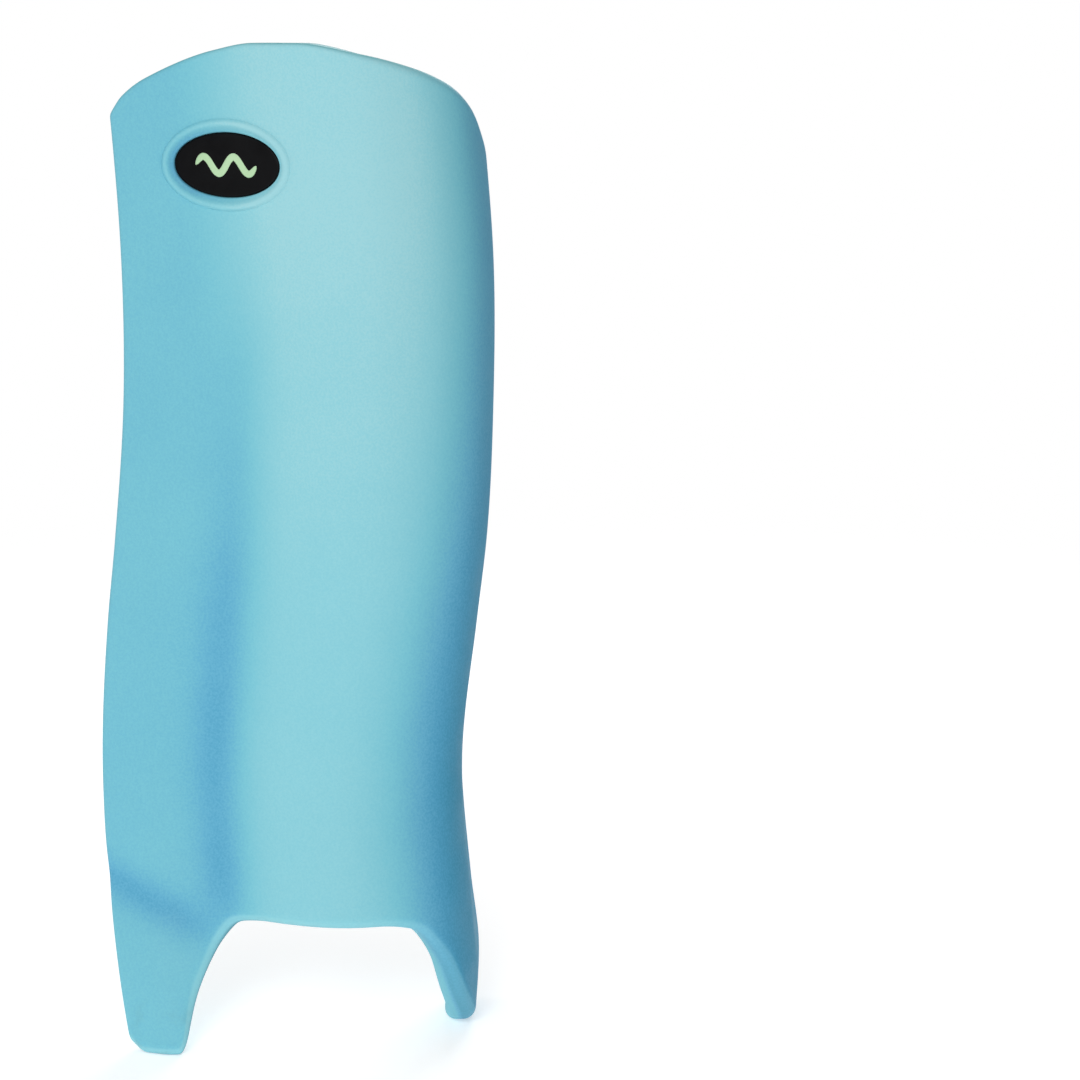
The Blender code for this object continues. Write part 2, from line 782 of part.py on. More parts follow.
def bracket(place, z, shell):
    """The footman loop that holds a strap, its two screws and the threaded insert."""
    bar = bar_place(z)
    half_gap = STRAP_WIDTH / 2 + POST_CLEARANCE
    half_frame = half_gap + POST_THICKNESS
    screw_height = half_frame + HEAD_MARGIN + HEAD_RADIUS
    half_plate = screw_height + HEAD_RADIUS + HEAD_MARGIN
    front = DEPTH + CLEARANCE
    back = front + PLATE_THICKNESS
    half_width = PLATE_WIDTH / 2
    body = box(
        "bracket_" + place,
        (bar.x - half_width, front, z - half_plate),
        (bar.x + half_width, back, z + half_plate),
    )
    rounded(body, HARD_EDGE_RADIUS, segments=1)
    pieces = []
    for side in (-1, 1):
        low, high = sorted((side * half_gap, side * half_frame))
        pieces.append(
            box(
                f"post_{place}_{side}",
                (bar.x - POST_HALF_DEPTH, back - OVERLAP, z + low),
                (bar.x + POST_HALF_DEPTH, bar.y + BAR_RADIUS, z + high),
            )
        )
    grip = half_gap + POST_THICKNESS / 2
    ends = (bar.x, bar.y, z - grip), (bar.x, bar.y, z + grip)
    pieces.append(cylinder("bar_" + place, BAR_RADIUS, *ends))
    for piece in pieces:
        union = body.modifiers.new("join " + piece.name, "BOOLEAN")
        union.operation = "UNION"
        union.object = as_cutter(piece)
    insert_half = half_plate - HEAD_MARGIN
    pocket = as_cutter(
        box(
            "insert_pocket_" + place,
            (
                bar.x - INSERT_WIDTH / 2 - CLEARANCE,
                DEPTH - INSERT_DEPTH - CLEARANCE,
                z - insert_half - CLEARANCE,
            ),
            (
                bar.x + INSERT_WIDTH / 2 + CLEARANCE,
                DEPTH + OVERSHOOT,
                z + insert_half + CLEARANCE,
            ),
        )
    )
    cut(shell, pocket)
    insert = box(
        "insert_" + place,
        (bar.x - INSERT_WIDTH / 2, DEPTH - INSERT_DEPTH, z - insert_half),
        (bar.x + INSERT_WIDTH / 2, DEPTH, z + insert_half),
    )
    for side, word in ((-1, "lower"), (1, "upper")):
        height = z + side * screw_height
        hole = as_cutter(
            cylinder(
                f"screw_hole_{place}_{word}",
                SCREW_RADIUS + CLEARANCE,
                (bar.x, DEPTH - INSERT_DEPTH - OVERSHOOT, height),
                (bar.x, back + OVERSHOOT, height),
            )
        )
        cut(body, hole)
        cut(insert, hole)
        screw(f"screw_{place}_{word}", bar.x, back + CLEARANCE, height)
    paint(body, NYLON)
    paint(insert, NYLON)


def screw(name, x, seat, z):
    """A pan-head screw: its profile turned about the screw's axis."""
    tip = -SCREW_LENGTH
    profile_points = (
        (0.0, HEAD_HEIGHT),
        (HEAD_RADIUS * 0.6, HEAD_HEIGHT),
        (HEAD_RADIUS * 0.93, HEAD_HEIGHT * 0.7),
        (HEAD_RADIUS, 0.0),
        (SCREW_RADIUS, 0.0),
        (SCREW_RADIUS, tip + SCREW_RADIUS),
        (SCREW_RADIUS * 0.4, tip),
        (0.0, tip),
    )
    mesh = bmesh.new()
    points = [mesh.verts.new((radius, 0.0, height)) for radius, height in profile_points]
    for first, second in zip(points, points[1:]):
        mesh.edges.new((first, second))
    obj = finished(name, mesh)
    turned = obj.modifiers.new("turned", "SCREW")
    turned.steps = ROUND_SIDES
    turned.render_steps = ROUND_SIDES
    turned.use_merge_vertices = True
    turned.merge_threshold = 1e-5
    obj.rotation_euler = (-math.pi / 2, 0.0, 0.0)
    obj.location = (x, seat, z)
    paint(obj, STEEL)


def straps(shell):
    for place, level in STRAPS:
        z = level * HEIGHT
        bracket(place, z, shell)
        webbing("strap_" + place, z)
        slider(place, z)
        flap(place, z)


def centre_on_ground():
    """Puts every object under one empty, which centres the guard's box over the origin."""
    base = bpy.data.objects.new("ground_centre", None)
    bpy.context.view_layer.update()
    graph = bpy.context.evaluated_depsgraph_get()
    corners = []
    for obj in PARTS.objects:
        shown = obj.evaluated_get(graph)
        corners += [shown.matrix_world @ Vector(corner) for corner in shown.bound_box]
    for obj in list(PARTS.objects) + list(CUTTERS.objects):
        obj.parent = base
    PARTS.objects.link(base)
    for axis in range(2):
        places = [corner[axis] for corner in corners]
        base.location[axis] = -(min(places) + max(places)) / 2


clear_scene()
PARTS = new_collection("goalkeeper_leg_guard")
CUTTERS = new_collection("cutters", hidden=True)

BLUE_FOAM = principled("blue_foam", 130, 198, 212, 0.62)
GREY_FOAM = principled("grey_foam", 92, 98, 104, 0.85)
LINING_CLOTH = principled("lining_cloth", 44, 48, 54, 0.90)
BADGE_BLACK = principled("badge_black", 14, 15, 17, 0.45)
EMBLEM_GREEN = principled("emblem_green", 180, 215, 170, 0.50)
WEBBING_BLACK = principled("webbing_black", 26, 27, 30, 0.85)
HOOK_BLACK = principled("hook_black", 22, 22, 24, 0.80)
LOOP_BLACK = principled("loop_black", 30, 31, 34, 0.95)
RUBBER = principled("tab_rubber", 38, 40, 44, 0.70)
NYLON = principled("nylon", 32, 33, 36, 0.50)
STEEL = principled("screw_steel", 176, 178, 182, 0.35, 1.0)

SHELL = foam_layers()
outer_wall()
inner_wall()
leg_pads()
badge(SHELL)
straps(SHELL)
centre_on_ground()
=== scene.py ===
"""The looks of the moulded goalkeeper leg guard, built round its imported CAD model.

Metres, in the CAD model's frame: +Z up, the face to -Y, the outer wing on -X, the inner side on +X.
The foam is lofted again from the same curves as the CAD shell, finer and with rounded edges. A place
on the shell's skin is "along", from 0 at the wing's free edge to 1 at the inner side's back edge,
and a height.
"""

import json
import math

import bmesh
import bpy
import numpy as np
from mathutils import Matrix, Vector
from mathutils.bvhtree import BVHTree


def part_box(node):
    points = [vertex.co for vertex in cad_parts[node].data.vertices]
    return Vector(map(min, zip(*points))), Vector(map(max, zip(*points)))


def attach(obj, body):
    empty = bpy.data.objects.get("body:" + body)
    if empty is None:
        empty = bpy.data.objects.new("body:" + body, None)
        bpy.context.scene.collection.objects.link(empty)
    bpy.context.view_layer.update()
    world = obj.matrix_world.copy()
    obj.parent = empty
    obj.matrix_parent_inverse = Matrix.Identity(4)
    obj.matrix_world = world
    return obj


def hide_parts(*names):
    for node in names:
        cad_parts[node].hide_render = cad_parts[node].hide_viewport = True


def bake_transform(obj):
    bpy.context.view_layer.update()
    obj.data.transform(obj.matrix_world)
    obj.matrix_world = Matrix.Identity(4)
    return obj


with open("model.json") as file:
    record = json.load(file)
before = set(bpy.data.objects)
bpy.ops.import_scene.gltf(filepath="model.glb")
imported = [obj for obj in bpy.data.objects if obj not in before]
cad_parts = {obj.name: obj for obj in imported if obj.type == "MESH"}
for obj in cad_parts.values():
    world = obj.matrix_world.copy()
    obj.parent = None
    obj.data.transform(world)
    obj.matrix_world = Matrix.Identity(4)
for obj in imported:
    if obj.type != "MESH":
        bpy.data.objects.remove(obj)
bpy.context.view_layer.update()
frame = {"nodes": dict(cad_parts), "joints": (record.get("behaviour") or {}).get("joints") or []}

# Sizes that the CAD model has
HEIGHT = 0.700
WIDTH = 0.270
DEPTH = 0.145
CLEARANCE = 0.0003
BOND_GAP = 0.001
SHELL_THICKNESS = 0.022
CORE_THICKNESS = 0.012
PAD_THICKNESS = 0.013
LINING_THICKNESS = 0.008
INNER_WALL_THICKNESS = 0.018
CORE_MARGIN = 0.012
OUTER_WALL_X = -0.088
OUTER_WALL_THICKNESS = 0.026
OUTER_WALL_RADIUS = 0.010
WALL_LOW = 0.19
WALL_HIGH = 0.885
BADGE_WIDTH = 0.082
BADGE_HEIGHT = 0.043
BADGE_SINK = 0.004
BADGE_ALONG = 0.228
BADGE_LEVEL = 0.884
STRAP_WIDTH = 0.040
WEBBING = 0.0018
BAR_RADIUS = 0.002
LOOP_TAIL = 0.088
FLAP_LENGTH = 0.037
PLACES = ("knee", "calf", "ankle")

SECTION = (
    (0.000, 0.440), (0.100, 0.385), (0.300, 0.280), (0.400, 0.180), (0.500, 0.080),
    (0.600, 0.016), (0.690, 0.000), (0.790, 0.035), (0.880, 0.115), (0.950, 0.240),
    (1.000, 0.480), (0.995, 0.750), (0.995, 1.000),
)
PROFILE = (
    (0.000, -0.440, 0.440, 0.000, 0.042, 0.005),
    (0.065, -0.471, 0.450, 0.001, 0.030, 0.004),
    (0.140, -0.500, 0.440, 0.006, 0.012, 0.001),
    (0.285, -0.520, 0.420, 0.018, 0.000, 0.000),
    (0.430, -0.497, 0.461, 0.012, 0.000, 0.000),
    (0.510, -0.474, 0.486, 0.006, 0.000, 0.000),
    (0.650, -0.443, 0.505, 0.001, 0.000, 0.000),
    (0.790, -0.440, 0.506, 0.000, 0.000, 0.000),
    (0.910, -0.456, 0.484, -0.001, 0.000, 0.000),
    (1.000, -0.475, 0.462, -0.005, 0.000, 0.000),
)
TOP_EDGE = (
    (0.000, 0.930), (0.030, 0.949), (0.080, 0.966), (0.220, 0.993), (0.310, 1.000),
    (0.400, 1.000), (0.520, 0.990), (0.620, 0.977), (0.700, 0.962), (0.760, 0.943),
    (0.830, 0.907), (0.900, 0.880), (1.000, 0.868),
)
BOTTOM_EDGE = (
    (0.000, 0.014), (0.022, 0.000), (0.118, 0.000), (0.155, 0.050), (0.190, 0.086),
    (0.225, 0.114), (0.260, 0.130), (0.320, 0.133), (0.560, 0.135), (0.630, 0.129),
    (0.690, 0.096), (0.745, 0.050), (0.800, 0.022), (0.845, 0.007), (0.880, 0.000),
    (0.975, 0.000), (1.000, 0.012),
)
CORE_SPAN = (8 / 34, 22 / 34)
INNER_WALL_SPAN = (27 / 34, 1.0)
INNER_LINING_SPAN = (29 / 34, 32 / 34)
PAD_SPAN = (10 / 34, 20 / 34)
# Node, lowest and highest share of the height, sewn channels
PADS = (("knee_pad", 0.735, 0.935, 2), ("shin_pad", 0.385, 0.720, 4), ("instep_pad", 0.170, 0.370, 2))
WING_ENDS = 0.060
FACE_STARTS = 0.340
FACE_ENDS = 0.640
SIDE_STARTS = 0.900

# The scene's own sizes
SIDE_RADIUS = 0.0055
TOP_RADIUS = 0.0036
TOP_RADIUS_INNER = 0.0080
CORNER_REACH = 0.014
FOOT_RADIUS = 0.0085
BEZEL_WIDTH = 0.0095
BEZEL_HEIGHT = 0.0019
STITCH_LENGTH = 0.0026
STITCH_WIDTH = 0.0006
STITCH_GAP = 0.0042
STRAP_STITCH_GAP = 0.0034
BINDING_RADIUS = 0.0017
TUBE_SIDES = 10
CORE_RADIUS = 0.0028
INNER_WALL_RADIUS = 0.004
LOOK_GAP = 0.0002
MOST_RECESS = 0.46
SCREW_HEAD = 0.0018
CLOTH_FRAMES = 20
# The foam's back faces get one even level of the painted shading, a mid blue.
BACK_SHADE_LEVEL = 0.45
GUARD_MIDDLE = (0.0, 0.0, 0.38)
TAU = 2 * math.pi
QUARTER_TURN = np.linspace(0, math.pi / 2, 8)


# The shell's curves


def smooth_curve(keys, level=False):
    """The smooth curve through (place, value) keys, as a function of an array of places."""
    at = np.array([key[0] for key in keys])
    value = np.array([key[1] for key in keys])
    span = np.diff(at)
    rise = np.diff(value) / span
    before, behind = rise[:-1], rise[1:]
    slope = np.concatenate([rise[:1], np.zeros(len(at) - 2), rise[-1:]])
    if level:
        total = np.where(before + behind == 0, 1.0, before + behind)
        slope[1:-1] = np.where(before * behind > 0, 2 * before * behind / total, 0.0)
    else:
        slope[1:-1] = (before * span[1:] + behind * span[:-1]) / (span[1:] + span[:-1])

    def evaluate(places):
        places = np.clip(places, at[0], at[-1])
        left = np.clip(np.searchsorted(at, places, side="right") - 1, 0, len(at) - 2)
        width = span[left]
        t = (places - at[left]) / width
        return (
            (1 + 2 * t) * (1 - t) ** 2 * value[left]
            + t * (1 - t) ** 2 * width * slope[left]
            + t * t * (3 - 2 * t) * value[left + 1]
            + t * t * (t - 1) * width * slope[left + 1]
        )

    return evaluate


def section_curves():
    places = [0.0]
    for (x0, y0), (x1, y1) in zip(SECTION, SECTION[1:]):
        places.append(places[-1] + math.hypot((x1 - x0) * WIDTH, (y1 - y0) * DEPTH))
    shares = [place / places[-1] for place in places]
    across = smooth_curve([(share, point[0]) for share, point in zip(shares, SECTION)])
    depth = smooth_curve([(share, point[1]) for share, point in zip(shares, SECTION)])
    return across, depth


ACROSS, BACK = section_curves()
PROFILES = [None] + [smooth_curve([(row[0], row[i]) for row in PROFILE]) for i in range(1, 6)]
TOP = smooth_curve(TOP_EDGE, level=True)
BOTTOM = smooth_curve(BOTTOM_EDGE, level=True)
ORIGIN = np.array(
    (
        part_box("wall_lateral")[0].x - OUTER_WALL_X,
        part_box("wall_lateral")[1].y - DEPTH,
        0.0,
    )
)


def ramp(value, start, end):
    share = np.clip((value - start) / (end - start), 0.0, 1.0)
    return share * share * (3 - 2 * share)


def section_point(along, z):
    level = z / HEIGHT
    wing, inner = PROFILES[1](level), PROFILES[2](level)
    off_wing = ramp(along, WING_ENDS, FACE_STARTS)
    lean = PROFILES[3](level) * off_wing * (1 - ramp(along, FACE_ENDS, SIDE_STARTS))
    lean = lean - PROFILES[4](level) * (1 - off_wing)
    flare = PROFILES[5](level) * ramp(along, FACE_ENDS, 1.0)
    x = WIDTH * (wing + (inner - wing) * ACROSS(along)) + flare
    y = DEPTH * BACK(along) + lean
    return np.stack([x, y, z + 0 * x], -1) + ORIGIN


def skin_point(along, z, inset=0.0):
    """Points of the skin, moved back from the face by an inset, level with the ground."""
    along, z = np.broadcast_arrays(np.asarray(along, float), np.asarray(z, float))
    step = 1e-3
    tangent = section_point(np.minimum(along + step, 1.0), z)
    tangent = tangent - section_point(np.maximum(along - step, 0.0), z)
    inward = np.stack([-tangent[..., 1], tangent[..., 0], 0 * z], -1)
    inward = inward / np.linalg.norm(inward, axis=-1, keepdims=True)
    return section_point(along, z) + inward * np.asarray(inset)[..., None]


def along_at_x(x, z, inset=0.0):
    """The place along the front half of the skin where it lies at x."""
    low, high = np.zeros_like(x), np.full_like(x, 0.55)
    for _ in range(30):
        middle = (low + high) / 2
        left = skin_point(middle, z, inset)[..., 0] < x
        low, high = np.where(left, middle, low), np.where(left, high, middle)
    return low


def bell(value, middle, width):
    return np.exp(-(((value - middle) / width) ** 2))


def crease(along, z):
    """The soft fold that runs down from the wing's edge across the outer foot."""
    level, across = z / HEIGHT, ACROSS(along)
    line = 0.170 - 0.170 * across
    return bell(level, line, 0.024) * (1 - ramp(across, 0.18, 0.34))


def tone(along, z):
    """Painted shade and highlight on the moulded skin, as a place on its blue colour ramp: a painted
    highlight on the crown of the face, more painted shade on the wing, in the valley beside it and in
    the fold over the outer foot, and the darkest painted shade round the inner side, where it turns
    away."""
    level, across = z / HEIGHT, ACROSS(along)
    lower = 1 - ramp(level, 0.30, 0.90)
    # Painted shade on the wing, which turns aside; the face's crown lightest, a painted highlight.
    wing = 1 - ramp(across, 0.16 + 0.10 * lower, 0.46 + 0.04 * lower)
    face = 0.02 + 0.20 * lower
    # The most painted shade round the inner side, where the skin turns away.
    side = ramp(across, 0.74 - 0.10 * lower, 1.02) ** (2.0 - 0.5 * lower)
    # Painted shade in the valley between the wing and the face.
    valley = (0.10 + 0.20 * lower) * bell(across, 0.34, 0.08) * (1 - ramp(level, 0.68, 0.82))
    valley = valley * ramp(level, 0.08, 0.17)
    deepest = 0.74 + 0.22 * lower**2
    depth = face + (0.48 - face) * wing + (deepest - face) * side + valley
    # Painted shade in the fold over the outer foot, on top of its small dent.
    depth = depth + 0.25 * crease(along, z)
    return np.clip(depth, 0, 1)


# Making meshes


def link(name, data):
    obj = bpy.data.objects.new(name, data)
    bpy.context.scene.collection.objects.link(obj)
    return obj


def mesh_object(name, points, faces):
    data = bpy.data.meshes.new(name)
    data.from_pydata([tuple(point) for point in points], [], [tuple(face) for face in faces])
    mesh = bmesh.new()
    mesh.from_mesh(data)
    bmesh.ops.recalc_face_normals(mesh, faces=mesh.faces)
    mesh.to_mesh(data)
    mesh.free()
    data.shade_smooth()
    return link(name, data)


def store(obj, name, values):
    """A number at each vertex, for a material to read."""
    attribute = obj.data.attributes.new(name, "FLOAT", "POINT")
    attribute.data.foreach_set("value", np.asarray(values, np.float32).ravel())


def unit(vectors):
    return vectors / np.linalg.norm(vectors, axis=-1, keepdims=True)


def run_along(path):
    """How far along a path each of its points lies."""
    return np.concatenate([[0], np.cumsum(np.linalg.norm(np.diff(path, axis=0), axis=1))])


def grid_faces(index):
    """Four-sided faces between the neighbours in a grid of point numbers."""
    quads = np.stack([index[:-1, :-1], index[:-1, 1:], index[1:, 1:], index[1:, :-1]], -1)
    return quads.reshape(-1, 4)


def ring_faces(count, around, start=0, closed=False):
    """Faces over rings of points numbered from start. A closed row of rings joins its last ring to
    its first, and an open one has a cap at each end."""
    index = start + np.arange(count * around).reshape(count, around)
    index = np.concatenate([index, index[:, :1]], 1)
    if closed:
        return grid_faces(np.concatenate([index, index[:1]]))
    return [*grid_faces(index), index[0, :-1], index[-1, :-1]]


def rings_object(name, rings, closed=False):
    rings = np.asarray(rings)
    return mesh_object(name, rings.reshape(-1, 3), ring_faces(*rings.shape[:2], closed=closed))


def slab(name, front, back):
    """A closed solid between two grids of points."""
    rows, columns = front.shape[:2]
    points = np.concatenate([front.reshape(-1, 3), back.reshape(-1, 3)])
    near = np.arange(rows * columns).reshape(rows, columns)
    far = near + rows * columns
    faces = [grid_faces(near), grid_faces(far)]
    for j in (0, -1):
        faces.append(grid_faces(np.stack([near[j], far[j]])))
        faces.append(grid_faces(np.stack([near[:, j], far[:, j]])))
    return mesh_object(name, points, np.concatenate(faces))


def foam(name, start, end, low, high, near, far, radii, columns, rows, relief=None):
    """A foam layer of the skin from inset near to inset far, with its edges rounded by the radii
    at its sides, bottom and top. low and high give the heights of its edges, and relief how far
    its face stands out."""
    radius, radius_low, radius_high = radii
    turn = QUARTER_TURN[:-1]
    band = 1 - np.cos(turn)
    middle_z = HEIGHT / 2
    outline = skin_point(np.linspace(start, end, 200), middle_z, near)
    length = np.linalg.norm(np.diff(outline, axis=0), axis=1).sum()
    share = band * radius / length
    edge = radius / length
    alongs = np.concatenate([share, np.linspace(edge, 1 - edge, columns), (1 - share)[::-1]])
    alongs = start + (end - start) * alongs
    bottoms, tops = low(alongs), high(alongs)
    places = skin_point(alongs, middle_z, near)
    run = run_along(places)
    radius_low = radius_low + 0 * alongs
    radius_high = radius_high(alongs) if callable(radius_high) else radius_high + 0 * alongs
    stretch_low = radius_low * np.sqrt(1 + np.gradient(bottoms, run) ** 2)
    stretch_high = radius_high * np.sqrt(1 + np.gradient(tops, run) ** 2)
    first, last = bottoms + stretch_low, tops - stretch_high
    z = [bottoms + d * stretch_low for d in band]
    z += [first + (last - first) * s for s in np.linspace(0, 1, rows)]
    z += [tops - d * stretch_high for d in band[::-1]]
    z = np.array(z)
    sides = np.clip(1 - np.minimum(run, run[-1] - run) / radius, 0, 1)
    sides = radius * (1 - np.sqrt(1 - sides**2))[None, :]
    turned = 1 - np.sin(turn)
    ends = [np.outer(turned, radius_low), np.zeros((rows, len(alongs)))]
    ends = np.concatenate([*ends, np.outer(turned[::-1], radius_high)])
    recess = np.minimum(np.hypot(sides, ends), MOST_RECESS * (far - near))
    alongs = np.broadcast_to(alongs, z.shape)
    height = relief(alongs, z) if relief else 0.0
    front = skin_point(alongs, z, near + recess - height)
    back = skin_point(alongs, z, far - recess)
    obj = slab(name, front, back)
    # Masks of the top edge's and the foot's rounded bands, read by the skin for painted shade and
    # highlight.
    flat = np.zeros(len(band) + rows)
    for edge, share in (("top_edge", [flat, turned[::-1]]), ("foot_edge", [turned, flat])):
        share = np.concatenate(share)[:, None] + 0 * z
        store(obj, edge, np.concatenate([share.ravel()] * 2))
    # Painted shade and highlight on the front faces, one even level on the back.
    store(obj, "tone", np.concatenate([tone(alongs, z).ravel(), np.full(z.size, BACK_SHADE_LEVEL)]))
    return obj


def tube(name, path, radius):
    """A round tube along a closed path of points."""
    tangent = unit(np.roll(path, -1, 0) - np.roll(path, 1, 0))
    side = np.cross(tangent[0], (0.31, 0.27, 0.91))
    sides = []
    for t in tangent:
        side = side - t * side.dot(t)
        side = side / np.linalg.norm(side)
        sides.append(side)
    side = np.array(sides)
    other = np.cross(tangent, side)
    angle = np.linspace(0, TAU, TUBE_SIDES, endpoint=False)[None, :, None]
    rings = path[:, None] + radius * (
        np.cos(angle) * side[:, None] + np.sin(angle) * other[:, None]
    )
    return rings_object(name, rings, closed=True)


def stitches(name, seats):
    """Short rounded threads. A seat is (middle, direction, outward normal)."""
    ends = np.array([-0.5, -0.42, -0.2, 0.2, 0.42, 0.5])
    lift = np.array([-0.5, 0.15, 0.55, 0.55, 0.15, -0.5])
    size = np.array([0.45, 0.9, 1.0, 1.0, 0.9, 0.45])
    around = 6
    angle = np.linspace(0, TAU, around, endpoint=False)
    points, faces = [], []
    for middle, direction, normal in seats:
        direction = direction / np.linalg.norm(direction)
        normal = normal - direction * np.dot(normal, direction)
        normal = normal / np.linalg.norm(normal)
        side = np.cross(direction, normal)
        start = len(points)
        for e, up, r in zip(ends, lift, size):
            centre = middle + direction * e * STITCH_LENGTH + normal * up * STITCH_WIDTH
            for turn in angle:
                offset = side * math.cos(turn) + normal * 0.7 * math.sin(turn)
                points.append(centre + offset * r * STITCH_WIDTH / 2)
        faces += ring_faces(len(ends), around, start)
    return mesh_object(name, points, faces)


def seats_along(path, normals, gap=STITCH_GAP):
    """Stitch seats at equal steps along a path of points with their normals."""
    path, normals = np.asarray(path, float), np.asarray(normals, float)
    run = run_along(path)
    count = max(int(run[-1] / gap), 1)
    at = (np.arange(count) + 0.5) * run[-1] / count

    def value(rows, where):
        return np.stack([np.interp(where, run, rows[:, i]) for i in range(3)], -1)

    step = gap * 0.2
    ahead = value(path, np.minimum(at + step, run[-1])) - value(path, np.maximum(at - step, 0))
    return list(zip(value(path, at), ahead, value(normals, at)))


def refined(node, name, width, segments=3):
    """A CAD node again, with its edges rounded."""
    mesh = bmesh.new()
    mesh.from_mesh(frame["nodes"][node].data)
    bmesh.ops.remove_doubles(mesh, verts=mesh.verts, dist=1e-6)
    bmesh.ops.dissolve_limit(
        mesh, angle_limit=math.radians(1.0), verts=mesh.verts, edges=mesh.edges
    )
    data = bpy.data.meshes.new(name)
    mesh.to_mesh(data)
    mesh.free()
    obj = link(name, data)
    bevel = obj.modifiers.new("rounded edges", "BEVEL")
    bevel.width = width
    bevel.segments = segments
    bevel.limit_method = "ANGLE"
    bevel.angle_limit = math.radians(28)
    bevel.use_clamp_overlap = True
    obj.modifiers.new("even shading", "WEIGHTED_NORMAL")
    obj.data.materials.clear()
    obj.data.shade_smooth()
    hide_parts(node)
    return apply_modifiers(obj)


def apply_modifiers(obj):
    graph = bpy.context.evaluated_depsgraph_get()
    data = bpy.data.meshes.new_from_object(obj.evaluated_get(graph))
    obj.modifiers.clear()
    obj.data = data
    return obj


# Materials


def linear(channel):
    value = channel / 255
    return value / 12.92 if value <= 0.04045 else ((value + 0.055) / 1.055) ** 2.4


def colour(red, green, blue):
    return (linear(red), linear(green), linear(blue), 1.0)


def scaled(shade, factor):
    return (*(factor * channel for channel in shade[:3]), 1.0)


class Finish:
    """A material under construction: a Principled shader and the nodes that feed it."""

    def __init__(self, name, roughness, metallic=0.0, sheen=0.0, specular=0.5):
        self.material = bpy.data.materials.new(name)
        self.material.use_nodes = True
        self.tree = self.material.node_tree
        self.shader = self.tree.nodes["Principled BSDF"]
        for key, value in (
            ("Roughness", roughness), ("Metallic", metallic), ("Sheen Weight", sheen),
            ("Sheen Roughness", 0.5), ("Specular IOR Level", specular),
        ):
            self.shader.inputs[key].default_value = value
        self.bumps = []
        self.place = self.tree.nodes.new("ShaderNodeTexCoord").outputs["Object"]

    def node(self, kind, settings=(), **inputs):
        node = self.tree.nodes.new(kind)
        for key, value in dict(settings).items():
            setattr(node, key, value)
        for key, value in inputs.items():
            socket = node.inputs[int(key[1:])] if key[1:].isdigit() else node.inputs[key]
            if isinstance(value, bpy.types.NodeSocket):
                self.tree.links.new(value, socket)
            else:
                socket.default_value = value
        return node

    def noise(self, scale, detail=3.0, roughness=0.55, vector=None):
        node = self.node(
            "ShaderNodeTexNoise", Vector=vector or self.place, Scale=scale, Detail=detail,
            Roughness=roughness,
        )
        return node.outputs["Fac"]

    def cells(self, scale, feature="F1"):
        node = self.node(
            "ShaderNodeTexVoronoi", {"feature": feature}, Vector=self.place, Scale=scale
        )
        return node.outputs["Distance"]

    def math(self, operation, a, b=0.0):
        return self.node("ShaderNodeMath", {"operation": operation}, _0=a, _1=b).outputs[0]

    def times(self, a, b):
        return self.math("MULTIPLY", a, b)

    def span(self, value, low, high, start=0.0, end=1.0):
        """A value's place between low and high, smoothed, as one between start and end."""
        settings = {"interpolation_type": "SMOOTHSTEP"}
        node = self.node("ShaderNodeMapRange", settings, _0=value, _1=low, _2=high, _3=start, _4=end)
        return node.outputs["Result"]

    def patches(self, scale, detail=3.0, start=0.0, end=1.0):
        """Soft patches of noise, as a value between start and end."""
        return self.span(self.noise(scale, detail), 0.3, 0.7, start, end)

    def attribute(self, name):
        return self.node("ShaderNodeAttribute", {"attribute_name": name}).outputs["Fac"]

    def axis(self, letter):
        return self.node("ShaderNodeSeparateXYZ", _0=self.place).outputs[letter]

    def mix(self, share, a, b):
        return self.node("ShaderNodeMix", {"data_type": "RGBA"}, _0=share, _6=a, _7=b).outputs[2]

    def paint(self, value):
        self.tree.links.new(value, self.shader.inputs["Base Color"])

    def rough(self, value):
        self.tree.links.new(value, self.shader.inputs["Roughness"])

    def bump(self, height, distance, strength=1.0):
        node = self.node("ShaderNodeBump", Height=height, Strength=strength, Distance=distance)
        if self.bumps:
            self.tree.links.new(self.bumps[-1], node.inputs["Normal"])
        self.bumps.append(node.outputs["Normal"])
        self.tree.links.new(node.outputs["Normal"], self.shader.inputs["Normal"])


# Colours of the painted shading: from the painted highlight on the face's crown to the darkest painted
# shade round the inner side.
PAINTED_SHADE_RAMP = (
    (0.00, (156, 211, 219)),
    (0.15, (140, 205, 216)),
    (0.42, (120, 195, 211)),
    (0.55, (110, 186, 208)),
    (0.68, (98, 174, 205)),
    (0.82, (78, 158, 194)),
    (1.00, (56, 142, 174)),
)


